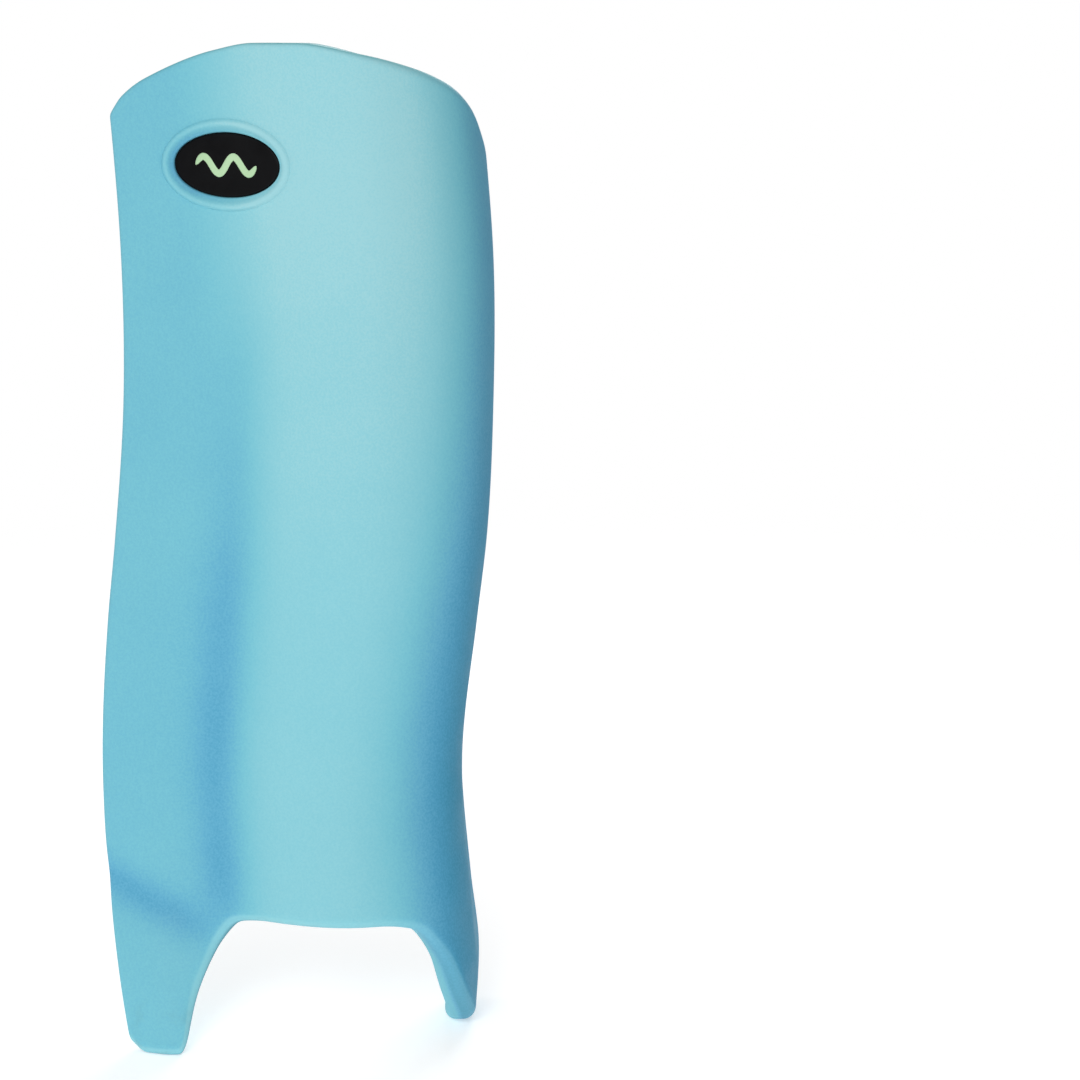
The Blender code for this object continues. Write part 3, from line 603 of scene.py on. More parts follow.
def shell_skin():
    """Light blue moulded foam: a fine grained skin, a little uneven, scuffed near the ground. Its blue
    carries painted shade and highlight over the face, on the top edge's rounded band and along the
    outer foot's edge.
    """
    f = Finish("foam skin blue", 0.6, specular=0.2)
    patches = f.span(f.noise(7.0, 4.0), 0.25, 0.75, -0.035, 0.035)
    speckle = f.patches(650.0, 2.0, -0.05, 0.05)
    depth = f.math("ADD", f.attribute("tone"), f.math("ADD", patches, speckle))
    # The painted shading attribute, with random patches and speckle added, picks its colour on the
    # painted shade ramp.
    shade_ramp_node = f.node("ShaderNodeValToRGB", Fac=depth)
    stops = shade_ramp_node.color_ramp.elements
    while len(stops) < len(PAINTED_SHADE_RAMP):
        stops.new(0.5)
    for stop, (place, shade) in zip(stops, PAINTED_SHADE_RAMP):
        stop.position = place
        stop.color = colour(*shade)
    base = shade_ramp_node.outputs["Color"]
    # Painted shade: the top edge's rounded band darker and greener.
    top = f.span(f.attribute("top_edge"), 0.12, 0.8, 0.0, 0.8)
    base = f.mix(top, base, colour(100, 182, 188))
    # Painted highlight on the first part of the outer foot's rounded edge, painted shade further round
    # it.
    foot = f.attribute("foot_edge")
    outer = f.span(f.axis("X"), 0.04, -0.02)
    painted_highlight = f.times(f.span(foot, 0.0, 0.12, 0.0, 0.6), f.span(outer, 0.0, 1.0, 0.4, 1.0))
    base = f.mix(painted_highlight, base, colour(150, 212, 220))
    painted_edge_shade = f.times(f.span(foot, 0.3, 0.9, 0.0, 0.8), f.span(outer, 0.0, 1.0, 0.15, 1.0))
    base = f.mix(painted_edge_shade, base, colour(60, 128, 148))
    low = f.times(f.span(f.axis("Z"), 0.06, 0.0), f.span(f.noise(55.0, 5.0), 0.52, 0.72))
    base = f.mix(f.times(low, 0.22), base, colour(104, 140, 146))
    f.paint(base)
    f.rough(f.patches(30.0, 3.0, 0.52, 0.66))
    f.bump(f.noise(18.0, 2.0), 0.0012, 0.25)
    f.bump(f.cells(900.0), 0.00014, 0.4)
    f.bump(f.noise(2000.0, 2.0), 0.00016, 0.5)
    return f.material


def cut_foam(name, low, high, scale=1300.0):
    """Closed-cell foam cut from a block: open cells at the surface and faint knife lines."""
    f = Finish(name, 0.78, sheen=0.1, specular=0.25)
    cells = f.span(f.cells(scale), 0.1, 0.7)
    base = f.mix(f.patches(14.0, 4.0), low, high)
    base = f.mix(f.times(cells, 0.35), base, scaled(low, 0.55))
    f.paint(base)
    f.rough(f.patches(60.0, 3.0, 0.7, 0.86))
    lines = f.node("ShaderNodeMapping", Vector=f.place, Scale=(6.0, 6.0, 260.0)).outputs[0]
    f.bump(f.noise(1.0, 2.0, vector=lines), 0.0003, 0.3)
    f.bump(f.cells(scale), 0.0002, 0.55)
    return f.material


def knit(name, dark, light, sheen=0.5):
    """Brushed knitted lining: small loops in rows, with a soft nap."""
    f = Finish(name, 0.88, sheen=sheen, specular=0.2)
    wobble = f.noise(260.0, 2.0)
    x, y, z = (f.axis(letter) for letter in "XYZ")
    across = f.math("ADD", f.math("ADD", x, y), f.times(wobble, 0.0004))
    wales = f.math("SINE", f.times(across, TAU / 0.0013))
    courses = f.math("SINE", f.times(z, TAU / 0.0011))
    loops = f.times(wales, courses)
    nap = f.noise(1500.0, 3.0)
    base = f.mix(f.patches(22.0, 4.0), dark, light)
    base = f.mix(f.span(loops, -0.6, 1.0, 0.0, 0.5), base, scaled(light, 1.7))
    f.paint(base)
    f.rough(f.span(nap, 0.3, 0.7, 0.8, 0.95))
    f.bump(loops, 0.00022, 0.6)
    f.bump(nap, 0.00018, 0.5)
    return f.material


def woven(name, dark, light):
    """Woven elastic: ribs along the strap crossed by fine weft."""
    f = Finish(name, 0.72, sheen=0.35, specular=0.3)
    u, v = f.attribute("run"), f.attribute("across")
    ribs = f.math("SINE", f.times(v, TAU / 0.0016))
    weft = f.math("SINE", f.times(u, TAU / 0.0011))
    weave = f.times(ribs, weft)
    base = f.mix(f.patches(40.0), dark, light)
    base = f.mix(f.span(weave, -0.4, 1.0, 0.0, 0.6), base, scaled(light, 2.2))
    f.paint(base)
    f.rough(f.patches(900.0, 3.0, 0.64, 0.8))
    f.bump(ribs, 0.0002, 0.5)
    f.bump(weave, 0.00022, 0.7)
    f.bump(f.noise(2600.0, 2.0), 0.0001, 0.4)
    return f.material


def moulded(name, base_low, base_high, roughness=0.42, grain=1600.0, depth=0.00008, specular=0.45):
    """Moulded plastic or rubber with a fine spark-eroded texture."""
    f = Finish(name, roughness, specular=specular)
    f.paint(f.mix(f.patches(35.0, 4.0), base_low, base_high))
    f.rough(f.patches(90.0, 3.0, roughness - 0.07, roughness + 0.09))
    f.bump(f.noise(grain, 2.0), depth, 0.5)
    return f.material


def plated(name):
    """Bright zinc-plated steel, faintly brushed."""
    f = Finish(name, 0.3, metallic=1.0)
    patches = f.span(f.noise(120.0, 4.0), 0.35, 0.7)
    f.paint(f.mix(patches, colour(196, 198, 200), colour(168, 171, 176)))
    lines = f.node("ShaderNodeMapping", Vector=f.place, Scale=(60.0, 60.0, 2500.0)).outputs[0]
    f.rough(f.span(f.noise(1.0, 3.0, vector=lines), 0.3, 0.7, 0.22, 0.4))
    f.bump(f.noise(1.0, 2.0, vector=lines), 0.00004, 0.35)
    return f.material


def napped(name, dark, light):
    """The fuzzy loop side of a fastening tape."""
    f = Finish(name, 0.95, sheen=0.6, specular=0.15)
    f.paint(f.mix(f.span(f.noise(1400.0, 4.0), 0.35, 0.65), dark, light))
    f.rough(f.patches(200.0, 3.0, 0.88, 1.0))
    f.bump(f.noise(1400.0, 4.0, 0.7), 0.0005, 0.8)
    return f.material


def wear(obj, material, body):
    """Gives a piece its material and the body it moves with."""
    obj.data.materials.clear()
    obj.data.materials.append(material)
    if body:
        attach(obj, body)
    return obj


SKIN = shell_skin()
CORE = cut_foam("core foam grey", colour(92, 100, 106), colour(104, 112, 118), 1500.0)
BLOCK = cut_foam("wall foam blue", colour(92, 166, 192), colour(104, 178, 202))
LINING = knit("lining knit charcoal", colour(34, 38, 44), colour(44, 48, 54))
BINDING = woven("binding tape black", colour(18, 19, 21), colour(26, 28, 31))
ELASTIC = woven("elastic webbing black", colour(20, 22, 24), colour(29, 31, 34))
THREAD = moulded(
    "thread grey blue", colour(84, 120, 134), colour(104, 142, 156), 0.7, 2600.0, 0.0001, 0.4
)
DARK_THREAD = moulded("thread dark", colour(48, 50, 54), colour(66, 68, 72), 0.7, 2600.0, 0.0001, 0.4)
BADGE_BLACK = moulded("badge black", colour(4, 4, 6), colour(8, 8, 10), 0.5, 1900.0, 0.00005, 0.12)
MARK_GREEN = moulded("badge mark green", colour(176, 212, 166), colour(186, 219, 176), 0.45)
NYLON = moulded("nylon black", colour(20, 20, 22), colour(28, 28, 30), 0.45, 1300.0)
GREY_NYLON = moulded("nylon grey", colour(66, 68, 70), colour(76, 78, 80), 0.5, 1300.0)
RUBBER = moulded("rubber dark", colour(34, 38, 42), colour(44, 48, 52), 0.62, 900.0, 0.00012)
STEEL = plated("zinc plated steel")
HOOKS = moulded("hook tape", colour(16, 17, 18), colour(24, 25, 27), 0.5, 1500.0)
LOOPS = napped("loop tape", colour(24, 26, 29), colour(46, 49, 54))


# Foam


def badge_frame():
    """The badge's place: its origin on the face, +X across, +Y up and +Z out of the face."""
    z = BADGE_LEVEL * HEIGHT
    centre = skin_point(BADGE_ALONG, z)
    across = skin_point(BADGE_ALONG + 0.05, z) - skin_point(BADGE_ALONG - 0.05, z)
    up = skin_point(BADGE_ALONG, z + 0.02) - skin_point(BADGE_ALONG, z - 0.02)
    across = across / np.linalg.norm(across)
    out = np.cross(across, up)
    out = out / np.linalg.norm(out)
    return centre, across, np.cross(out, across), out


BADGE = badge_frame()


def badge_reach(along, z):
    """How far outside the badge's edge a place on the skin lies, in metres."""
    centre, across, up, _ = BADGE
    away = skin_point(along, z) - centre
    x, y = away @ across, away @ up
    half_width, half_height = BADGE_WIDTH / 2, BADGE_HEIGHT / 2
    share = np.sqrt((x / half_width) ** 2 + (y / half_height) ** 2) + 1e-9
    return np.sqrt(x * x + y * y) * (1 - 1 / share)


def face_relief(along, z):
    """The fold over the outer foot, and the room behind the badge's bezel."""
    pocket = (BADGE_SINK + 0.0015) * (1 - ramp(badge_reach(along, z), 0.0015, 0.0075))
    pocket = pocket * (badge_reach(along, z) < 0.012)
    return -pocket - 0.0018 * crease(along, z)


def low_edge(along):
    """The bottom edge, with its corners rounded by taking its mean over a short way."""
    ways = np.linspace(-CORNER_REACH, CORNER_REACH, 9)
    return HEIGHT * np.mean([BOTTOM(np.clip(along + way, 0, 1)) for way in ways], axis=0)


def top_radius(along):
    """The top edge is rounded over more the nearer it comes to the inner side."""
    return TOP_RADIUS + (TOP_RADIUS_INNER - TOP_RADIUS) * ramp(along, 0.42, 0.72)


def high_edge(along):
    return HEIGHT * TOP(along)


def shell():
    obj = foam(
        "guard_shell", 0.0, 1.0, low_edge, high_edge, 0.0, SHELL_THICKNESS,
        (SIDE_RADIUS, FOOT_RADIUS, top_radius), 230, 330, face_relief,
    )
    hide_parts("face_shell")
    wear(obj, SKIN, "guard")
    core = foam(
        "laminate_core", *CORE_SPAN,
        lambda a: low_edge(a) + CORE_MARGIN, lambda a: high_edge(a) - CORE_MARGIN,
        SHELL_THICKNESS + LOOK_GAP, SHELL_THICKNESS + BOND_GAP + CORE_THICKNESS,
        (CORE_RADIUS,) * 3, 70, 160,
    )
    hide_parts("core_layer")
    wear(core, CORE, "guard")


def walls():
    """The two foam walls of the leg channel."""
    low, high = WALL_LOW * HEIGHT, WALL_HIGH * HEIGHT
    inset = SHELL_THICKNESS + LOOK_GAP
    inner = foam(
        "channel_wall_inner", *INNER_WALL_SPAN, lambda a: low + 0 * a,
        lambda a: np.minimum(high, high_edge(a) - CORE_MARGIN), inset,
        SHELL_THICKNESS + BOND_GAP + INNER_WALL_THICKNESS, (INNER_WALL_RADIUS,) * 3, 40, 150,
    )
    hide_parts("wall_medial")
    wear(inner, BLOCK, "guard")
    left = OUTER_WALL_X + ORIGIN[0]
    right = left + OUTER_WALL_THICKNESS
    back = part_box("wall_lateral")[1].y
    radius, levels, columns = 0.003, 130, 14
    turn = np.linspace(0, math.pi / 2, 6)[:-1]
    band = radius * (1 - np.cos(turn))
    flat = np.linspace(low + radius, high - radius, levels)
    z = np.concatenate([low + band, flat, high - band[::-1]])
    pulls = radius * (1 - np.sin(turn))
    pulls = np.concatenate([pulls, np.zeros(levels), pulls[::-1]])
    bend = np.linspace(math.pi, math.pi / 2, 9)
    r = OUTER_WALL_RADIUS
    rim = [(left + r + r * math.cos(a), back - r + r * math.sin(a)) for a in bend]
    rim += [(right - r + r * math.cos(a), back - r + r * math.sin(a)) for a in bend - math.pi / 2]
    rim = np.array(rim)
    toward = unit(np.array(((left + right) / 2, back - r)) - rim)
    rows = []
    for height, pull in zip(z, pulls):
        xs = np.array([left + pull, right - pull])
        along = along_at_x(xs, np.full(2, height), inset)
        near = skin_point(along, np.full(2, height), inset + pull)
        across = np.linspace(near[0], near[1], 6)
        outer = np.linspace(near[0][:2], (left + pull, back - r), columns)
        inner_side = np.linspace((right - pull, back - r), near[1][:2], columns)
        corners = rim + toward * pull
        ring = np.concatenate([outer[:-1], corners, inner_side[1:-1], across[::-1][:-1, :2]])
        rows.append(np.concatenate([ring, np.full((len(ring), 1), height)], 1))
    outer = rings_object("channel_wall_outer", rows)
    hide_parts("wall_lateral")
    wear(outer, BLOCK, "guard")


# Badge


def badge():
    """The bezel moulded round the badge, the black plate in it and the mark on the plate."""
    centre, across, up, out = BADGE
    angle = np.linspace(0, TAU, 120, endpoint=False)
    half_width, half_height = BADGE_WIDTH / 2, BADGE_HEIGHT / 2

    def flat(x, y):
        return centre + x[..., None] * across + y[..., None] * up

    def on_skin(x, y, height):
        place = flat(x, y)
        z = place[..., 2]
        along = along_at_x(place[..., 0], z)
        return skin_point(along, z, -height)

    profile = [(0.0, -BADGE_SINK), (0.0, -0.0026), (0.03, -0.0014), (0.10, -0.0005)]
    profile += [
        (x, -0.0005 + (BEZEL_HEIGHT + 0.0005) * math.sin(math.pi / 2 * (x - 0.10) / 0.56) ** 1.4)
        for x in np.linspace(0.16, 0.66, 9)
    ]
    profile += [
        (0.74, BEZEL_HEIGHT * 0.97), (0.82, BEZEL_HEIGHT * 0.82), (0.89, BEZEL_HEIGHT * 0.55),
        (0.95, BEZEL_HEIGHT * 0.2), (1.0, -0.0003), (1.0, -0.002), (1.0, -BADGE_SINK),
    ]
    rows, shades = [], []
    for share, height in profile:
        reach = CLEARANCE + BEZEL_WIDTH * share
        x, y = (half_width + reach) * np.cos(angle), (half_height + reach) * np.sin(angle)
        rows.append(on_skin(x, y, height))
        place = flat(x, y)
        shade = tone(along_at_x(place[:, 0], place[:, 2]), place[:, 2])
        # Painted shade towards the badge's recess and a painted highlight on the bezel's crest.
        shades.append(shade + 0.20 * (1 - ramp(share, 0.1, 0.6)) - 0.16 * bell(share, 0.66, 0.16))
    bezel = rings_object("badge_bezel", rows, closed=True)
    store(bezel, "tone", np.concatenate(shades))
    wear(bezel, SKIN, "guard")

    floor = -BADGE_SINK + CLEARANCE
    top = floor + 0.003
    rows = []
    for share, height in (
        (0.0, top + 0.0007), (0.25, top + 0.00066), (0.5, top + 0.0005), (0.75, top + 0.00025),
        (0.93, top - 0.00005), (0.975, top - 0.0003), (0.995, top - 0.0008), (1.0, top - 0.0014),
        (1.0, floor), (0.5, floor), (0.0, floor),
    ):
        share = max(share, 0.002)
        x, y = half_width * share * np.cos(angle), half_height * share * np.sin(angle)
        rows.append(on_skin(x, y, height))
    plate = rings_object("badge_plate", rows)
    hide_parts("badge_insert")
    wear(plate, BADGE_BLACK, "guard")

    swing = np.linspace(-1.0, 1.0, 81)
    x = swing * BADGE_WIDTH * 0.29
    y = BADGE_HEIGHT * 0.13 * np.sin(swing * 2.0 * math.pi)
    path = on_skin(x, y, top + 0.0006 + 0 * x)
    side = np.cross(out, unit(np.gradient(path, axis=0)))
    widths = 0.0025 * np.sqrt(np.clip(1 - swing**8, 0.02, 1))
    profile = ((-1.0, -0.0008), (-1.0, 0.0002), (-0.7, 0.00045), (0.0, 0.00055), (0.7, 0.00045),
               (1.0, 0.0002), (1.0, -0.0008))
    rings = [path + side * (s * widths)[:, None] + out * h for s, h in profile]
    mark = rings_object("badge_wave", np.stack(rings, 1))
    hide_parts("badge_emblem")
    wear(mark, MARK_GREEN, "guard")


# Soft pads


def remeshed(node, name, voxel):
    data = frame["nodes"][node].data.copy()
    obj = link(name, data)
    remesh = obj.modifiers.new("voxels", "REMESH")
    remesh.mode = "VOXEL"
    remesh.voxel_size = voxel
    apply_modifiers(obj)
    obj.data.materials.clear()
    return obj


def points_of(data):
    points = np.empty(len(data.vertices) * 3, np.float32)
    data.vertices.foreach_get("co", points)
    return points.reshape(-1, 3).astype(float)


def set_points(obj, points):
    obj.data.vertices.foreach_set("co", np.asarray(points, np.float32).ravel())
    obj.data.update()


def puff(obj, held, cap):
    """Blows the pad up as cloth, with its bonded back held, and caps how far a point moves."""
    start = points_of(obj.data)
    group = obj.vertex_groups.new(name="held")
    group.add([int(i) for i in np.flatnonzero(held)], 1.0, "REPLACE")
    cloth = obj.modifiers.new("cloth", "CLOTH")
    cloth.settings.use_pressure = True
    cloth.settings.uniform_pressure_force = 4.0
    cloth.settings.quality = 6
    cloth.settings.mass = 0.25
    cloth.settings.vertex_group_mass = "held"
    cloth.settings.effector_weights.gravity = 0.0
    cloth.point_cache.frame_start = 1
    cloth.point_cache.frame_end = CLOTH_FRAMES
    scene = bpy.context.scene
    for number in range(1, CLOTH_FRAMES + 1):
        scene.frame_set(number)
    graph = bpy.context.evaluated_depsgraph_get()
    data = bpy.data.meshes.new_from_object(obj.evaluated_get(graph))
    obj.modifiers.clear()
    obj.vertex_groups.clear()
    scene.frame_set(1)
    step = points_of(data) - start
    length = np.linalg.norm(step, axis=1, keepdims=True)
    step *= np.minimum(1.0, cap / np.maximum(length, 1e-9))
    set_points(obj, start + step)
    bpy.data.meshes.remove(data)


def subdivide(obj):
    modifier = obj.modifiers.new("smooth", "SUBSURF")
    modifier.levels = 1
    modifier.render_levels = 1
    apply_modifiers(obj)


def pad(node, name, guide, low, high, thickness, channels, voxel=0.004, cap=0.004):
    """A soft pad: cloth blown up, sewn down along level channels, bound round its edge. guide gives
    a point from a share across the pad, a height, and how far it stands off its bonded back."""
    obj = remeshed(node, name, voxel)
    points = points_of(obj.data)
    count = 60
    grid = guide(np.linspace(0, 1, count)[None, :], np.linspace(low, high, count)[:, None], 0.0)
    index = np.arange(count * count).reshape(count, count)
    backing = BVHTree.FromPolygons(
        [Vector(point) for point in grid.reshape(-1, 3)], grid_faces(index).tolist()
    )
    away = np.array([backing.find_nearest(Vector(point))[3] for point in points])
    puff(obj, away < thickness * 0.35, cap)
    subdivide(obj)
    points = points_of(obj.data)
    found = [backing.find_nearest(Vector(point)) for point in points]
    out = points - np.array([tuple(place[0]) for place in found])
    away = np.array([place[3] for place in found])
    out /= np.maximum(np.linalg.norm(out, axis=1, keepdims=True), 1e-9)
    groove = sum(bell(points[:, 2], z, 0.0042) for z in channels)
    depth = np.clip(groove, 0, 1) * 0.36 * thickness * ramp(away, thickness * 0.4, thickness * 0.9)
    set_points(obj, points - out * depth[:, None])
    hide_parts(node)
    wear(obj, LINING, "guard")

    surface = BVHTree.FromObject(obj, bpy.context.evaluated_depsgraph_get())
    seats = []
    for z in channels:
        share = np.linspace(0.05, 0.95, 70)
        path, normals = [], []
        for far, near in zip(guide(share, z, thickness * 1.6), guide(share, z, 0.0)):
            direction = Vector(near - far)
            hit = surface.ray_cast(Vector(far), direction.normalized())
            if hit[0] is not None:
                path.append(tuple(hit[0]))
                normals.append(tuple(-direction))
        if len(path) > 3:
            seats += seats_along(path, normals)
    thread = stitches(name + "_stitches", seats)
    wear(thread, THREAD, "guard")
    edge = edge_loop(guide, low, high, thickness * 0.42)
    binding = tube(name + "_binding", edge, BINDING_RADIUS)
    store(binding, "run", np.repeat(run_along(edge), TUBE_SIDES))
    store(binding, "across", np.tile(np.linspace(0, 0.01, TUBE_SIDES), len(edge)))
    wear(binding, BINDING, "guard")


def edge_loop(guide, low, high, depth):
    """A closed path round a pad, with rounded corners."""
    corner = 0.004
    middle = (low + high) / 2
    ends = guide(np.array([0.0, 1.0]), middle, depth)
    across = np.linalg.norm(ends[1] - ends[0])
    share = corner / across
    quarter = np.linspace(0, math.pi / 2, 6)
    path = []
    for u, z, first in (
        (1 - share, low + corner, -math.pi / 2),
        (1 - share, high - corner, 0.0),
        (share, high - corner, math.pi / 2),
        (share, low + corner, math.pi),
    ):
        turn = quarter + first
        path += list(zip(u + share * np.cos(turn), z + corner * np.sin(turn)))
    path.append(path[0])
    dense = []
    for (u0, z0), (u1, z1) in zip(path, path[1:]):
        parts = max(int(math.hypot((u1 - u0) * across, z1 - z0) / 0.006), 1)
        dense += [(u0 + (u1 - u0) * i / parts, z0 + (z1 - z0) * i / parts) for i in range(parts)]
    dense = np.array(dense)
    return guide(dense[:, 0], dense[:, 1], depth)


def on_skin(start, end, inset):
    """A guide for a pad bonded to the skin at an inset."""
    return lambda share, z, depth: skin_point(start + (end - start) * share, z, inset + depth)


def pads():
    inset = SHELL_THICKNESS + BOND_GAP + CORE_THICKNESS + BOND_GAP
    guide = on_skin(*PAD_SPAN, inset)
    for node, low, high, count in PADS:
        z = np.linspace(low, high, count + 2)[1:-1] * HEIGHT
        pad(node, node + "_soft", guide, low * HEIGHT, high * HEIGHT, PAD_THICKNESS, z)
    inset = SHELL_THICKNESS + BOND_GAP + INNER_WALL_THICKNESS + BOND_GAP
    low, high = (WALL_LOW + 0.035) * HEIGHT, (WALL_HIGH - 0.055) * HEIGHT
    z = np.linspace(low, high, 9)[1:-1]
    guide = on_skin(*INNER_LINING_SPAN, inset)
    pad("lining_medial", "lining_inner_soft", guide, low, high, LINING_THICKNESS, z, 0.0035, 0.003)

    near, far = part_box("lining_lateral")
    z = np.linspace(near.z, far.z, 9)[1:-1]

    def flat(share, height, depth):
        share, height = np.broadcast_arrays(np.asarray(share, float), np.asarray(height, float))
        return np.stack([near.x + depth + 0 * share, near.y + (far.y - near.y) * share, height], -1)

    pad("lining_lateral", "lining_outer_soft", flat, near.z, far.z, LINING_THICKNESS, z, 0.0035, 0.003)


# Straps and their hardware


def joint(name):
    return next(j for j in frame["joints"] if j["name"] == name)


def strap_lines(place):
    """The strap's bar, its direction and its outward normal, then the centre and middle radius of
    its bend round the outer wall's corner, and the hinge where its free end peels off."""
    bar = np.array(joint("swing_" + place)["pos_m"])
    way = np.array(joint("adjust_" + place)["axis"])
    peel = np.array(joint("peel_" + place)["pos_m"])
    outward = np.array((way[1], -way[0], 0.0))
    centre = np.array((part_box("wall_lateral")[0].x + OUTER_WALL_RADIUS, peel[1], bar[2]))
    radius = centre[0] - peel[0] - WEBBING / 2
    return bar, way, outward, centre, radius, peel


def band(name, path, half_width, thickness):
    """Flat webbing along a level path, its width upright, with rounded edges."""
    path = np.asarray(path)
    tangent = unit(np.gradient(path, axis=0))
    normal = np.stack([tangent[:, 1], -tangent[:, 0], np.zeros(len(path))], -1)
    edge = 0.0009
    turn = np.linspace(0, math.pi / 2, 5)
    rim = half_width - edge + edge * np.sin(turn)
    flat = np.linspace(0, half_width - edge, 10)[:-1]
    v = np.concatenate([flat, rim])
    t = thickness / 2 * np.concatenate([np.ones(len(flat)), np.cos(turn)])
    v, t = np.concatenate([-v[:0:-1], v]), np.concatenate([t[:0:-1], t])
    v = np.concatenate([v, v[-2:0:-1]])
    t = np.concatenate([t, -t[-2:0:-1]])
    upright = np.array((0.0, 0.0, 1.0))
    rings = path[:, None] + v[None, :, None] * upright + t[None, :, None] * normal[:, None]
    obj = rings_object(name, rings)
    store(obj, "run", np.repeat(run_along(path), len(v)))
    store(obj, "across", np.tile(v, len(path)))
    return obj


def sew(name, runs, seat, normal, body):
    """Stitches on a strap along straight runs. seat turns a run's two measures into a point."""
    seats = []
    for start, end in np.array(runs):
        line = [seat(*(start + (end - start) * s)) for s in np.linspace(0.03, 0.97, 12)]
        seats += seats_along(line, [normal] * len(line), STRAP_STITCH_GAP)
    wear(stitches(name, seats), DARK_THREAD, body)


def strap(place):
    """One strap: webbing sewn round its bar, through the adjuster and round the wall's corner to
    the free end. Only the stitches on the free end move with the flap, which peels off."""
    bar, way, outward, centre, radius, peel = strap_lines(place)
    half = WEBBING / 2
    loop = BAR_RADIUS + CLEARANCE + half
    sewn = 0.012
    reach = (centre - bar).dot(way)

    def at(along, out):
        return bar + way * along + outward * out

    path = [at(along, -half) for along in np.linspace(LOOP_TAIL, sewn, 24)]
    path += [at(loop * math.sin(a), loop * math.cos(a)) for a in np.radians(np.linspace(-200, 20, 26))]
    path += [at(along, half) for along in np.linspace(sewn, reach, 50)]
    start = math.atan2(outward[1], outward[0])
    path += [
        centre + radius * np.array((math.cos(a), math.sin(a), 0.0))
        for a in np.linspace(start, math.pi, 16)[1:]
    ]
    corner = path[-1]
    path += [corner - np.array((0, y, 0)) for y in np.linspace(0, FLAP_LENGTH, 27)[1:]]
    webbing = band("webbing_" + place, path, STRAP_WIDTH / 2, WEBBING - 0.0002)
    wear(webbing, ELASTIC, None)
    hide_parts("strap_" + place, "flap_" + place)
    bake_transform(webbing)

    low, high = 0.016, 0.044
    edge = STRAP_WIDTH / 2 - 0.0035
    corners = [(low, -edge), (high, -edge), (high, edge), (low, edge), (low, -edge)]
    runs = list(zip(corners, corners[1:])) + [(corners[0], corners[2]), (corners[1], corners[3])]
    upright = np.array((0.0, 0.0, 1.0))
    sew(
        "strap_sewing_" + place, runs, lambda a, v: at(a, WEBBING) + upright * v,
        outward, "strap_" + place,
    )

    near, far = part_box("hook_patch_" + place)
    x = corner[0] - half + 0.0001
    y0, y1 = near.y + 0.003, far.y - 0.003
    v = STRAP_WIDTH / 2 - 0.0045
    corners = [(y0, -v), (y1, -v), (y1, v), (y0, v), (y0, -v)]
    sew(
        "flap_sewing_" + place, list(zip(corners, corners[1:])),
        lambda y, v: np.array((x, y, peel[2] + v)), (-1.0, 0.0, 0.0), "flap_" + place,
    )


def box_mesh(size, middle):
    mesh = bmesh.new()
    bmesh.ops.create_cube(mesh, size=1.0)
    bmesh.ops.scale(mesh, vec=size, verts=mesh.verts)
    bmesh.ops.translate(mesh, vec=middle, verts=mesh.verts)
    return mesh


def hook_tape(place):
    """The hook patch on the flap's inner face: a backing and rows of small hooked stems."""
    near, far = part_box("hook_patch_" + place)
    base = 0.0004
    size = Vector((base, far.y - near.y, far.z - near.z))
    middle = Vector((near.x + base / 2, (near.y + far.y) / 2, (near.z + far.z) / 2))
    mesh = box_mesh(size, middle)
    bmesh.ops.bevel(mesh, geom=mesh.edges, offset=0.00012, segments=2, affect="EDGES")
    points = [tuple(vert.co) for vert in mesh.verts]
    mesh.verts.index_update()
    faces = [tuple(vert.index for vert in face.verts) for face in mesh.faces]
    mesh.free()
    pitch = 0.0015
    stem = ((0.0, 0.00022), (0.45, 0.00016), (0.7, 0.0003), (0.95, 0.00034), (1.0, 0.0002))
    reach = far.x - near.x - base - 0.00005
    rows = np.arange(near.z + 0.0012, far.z - 0.001, pitch)
    columns = np.arange(near.y + 0.0012, far.y - 0.001, pitch)
    for j, z in enumerate(rows):
        for y in columns + (pitch / 2 if j % 2 else 0.0):
            if y > far.y - 0.0008:
                continue
            start = len(points)
            for share, r in stem:
                x = near.x + base * 0.8 + share * (reach + base * 0.2)
                bend = 0.0002 * share * share
                points += [
                    (x, y + bend + r * math.cos(a), z + r * math.sin(a))
                    for a in np.linspace(0, TAU, 5)[:-1]
                ]
            faces += ring_faces(len(stem), 4, start)
    obj = mesh_object("hook_tape_" + place, points, faces)
    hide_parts("hook_patch_" + place)
    wear(obj, HOOKS, "flap_" + place)


def loop_tape(place):
    """The loop patch on the wall: a thin fabric with a soft, uneven nap."""
    node = "loop_patch_" + place
    near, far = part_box(node)
    z, y = np.linspace(near.z, far.z, 60), np.linspace(near.y, far.y, 60)
    z, y = np.meshgrid(z, y, indexing="ij")
    rim = np.minimum(np.minimum(y - near.y, far.y - y), np.minimum(z - near.z, far.z - z))
    nap = 0.00014 * np.sin(y * 5200 + 1.7 * np.sin(z * 2900))
    nap = nap * np.sin(z * 4700 + 2.1 * np.sin(y * 3100))
    radius = 0.0007
    rounding = radius * (1 - np.sqrt(np.clip(1 - (1 - np.clip(rim / radius, 0, 1)) ** 2, 0, 1)))
    face = near.x + 0.00015 + rounding - nap * (rim > 0)
    front = np.stack([face, y, z], -1)
    back = np.stack([np.full_like(y, far.x), y, z], -1)
    obj = slab("loop_tape_" + place, front, back)
    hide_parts(node)
    wear(obj, LOOPS, "guard")


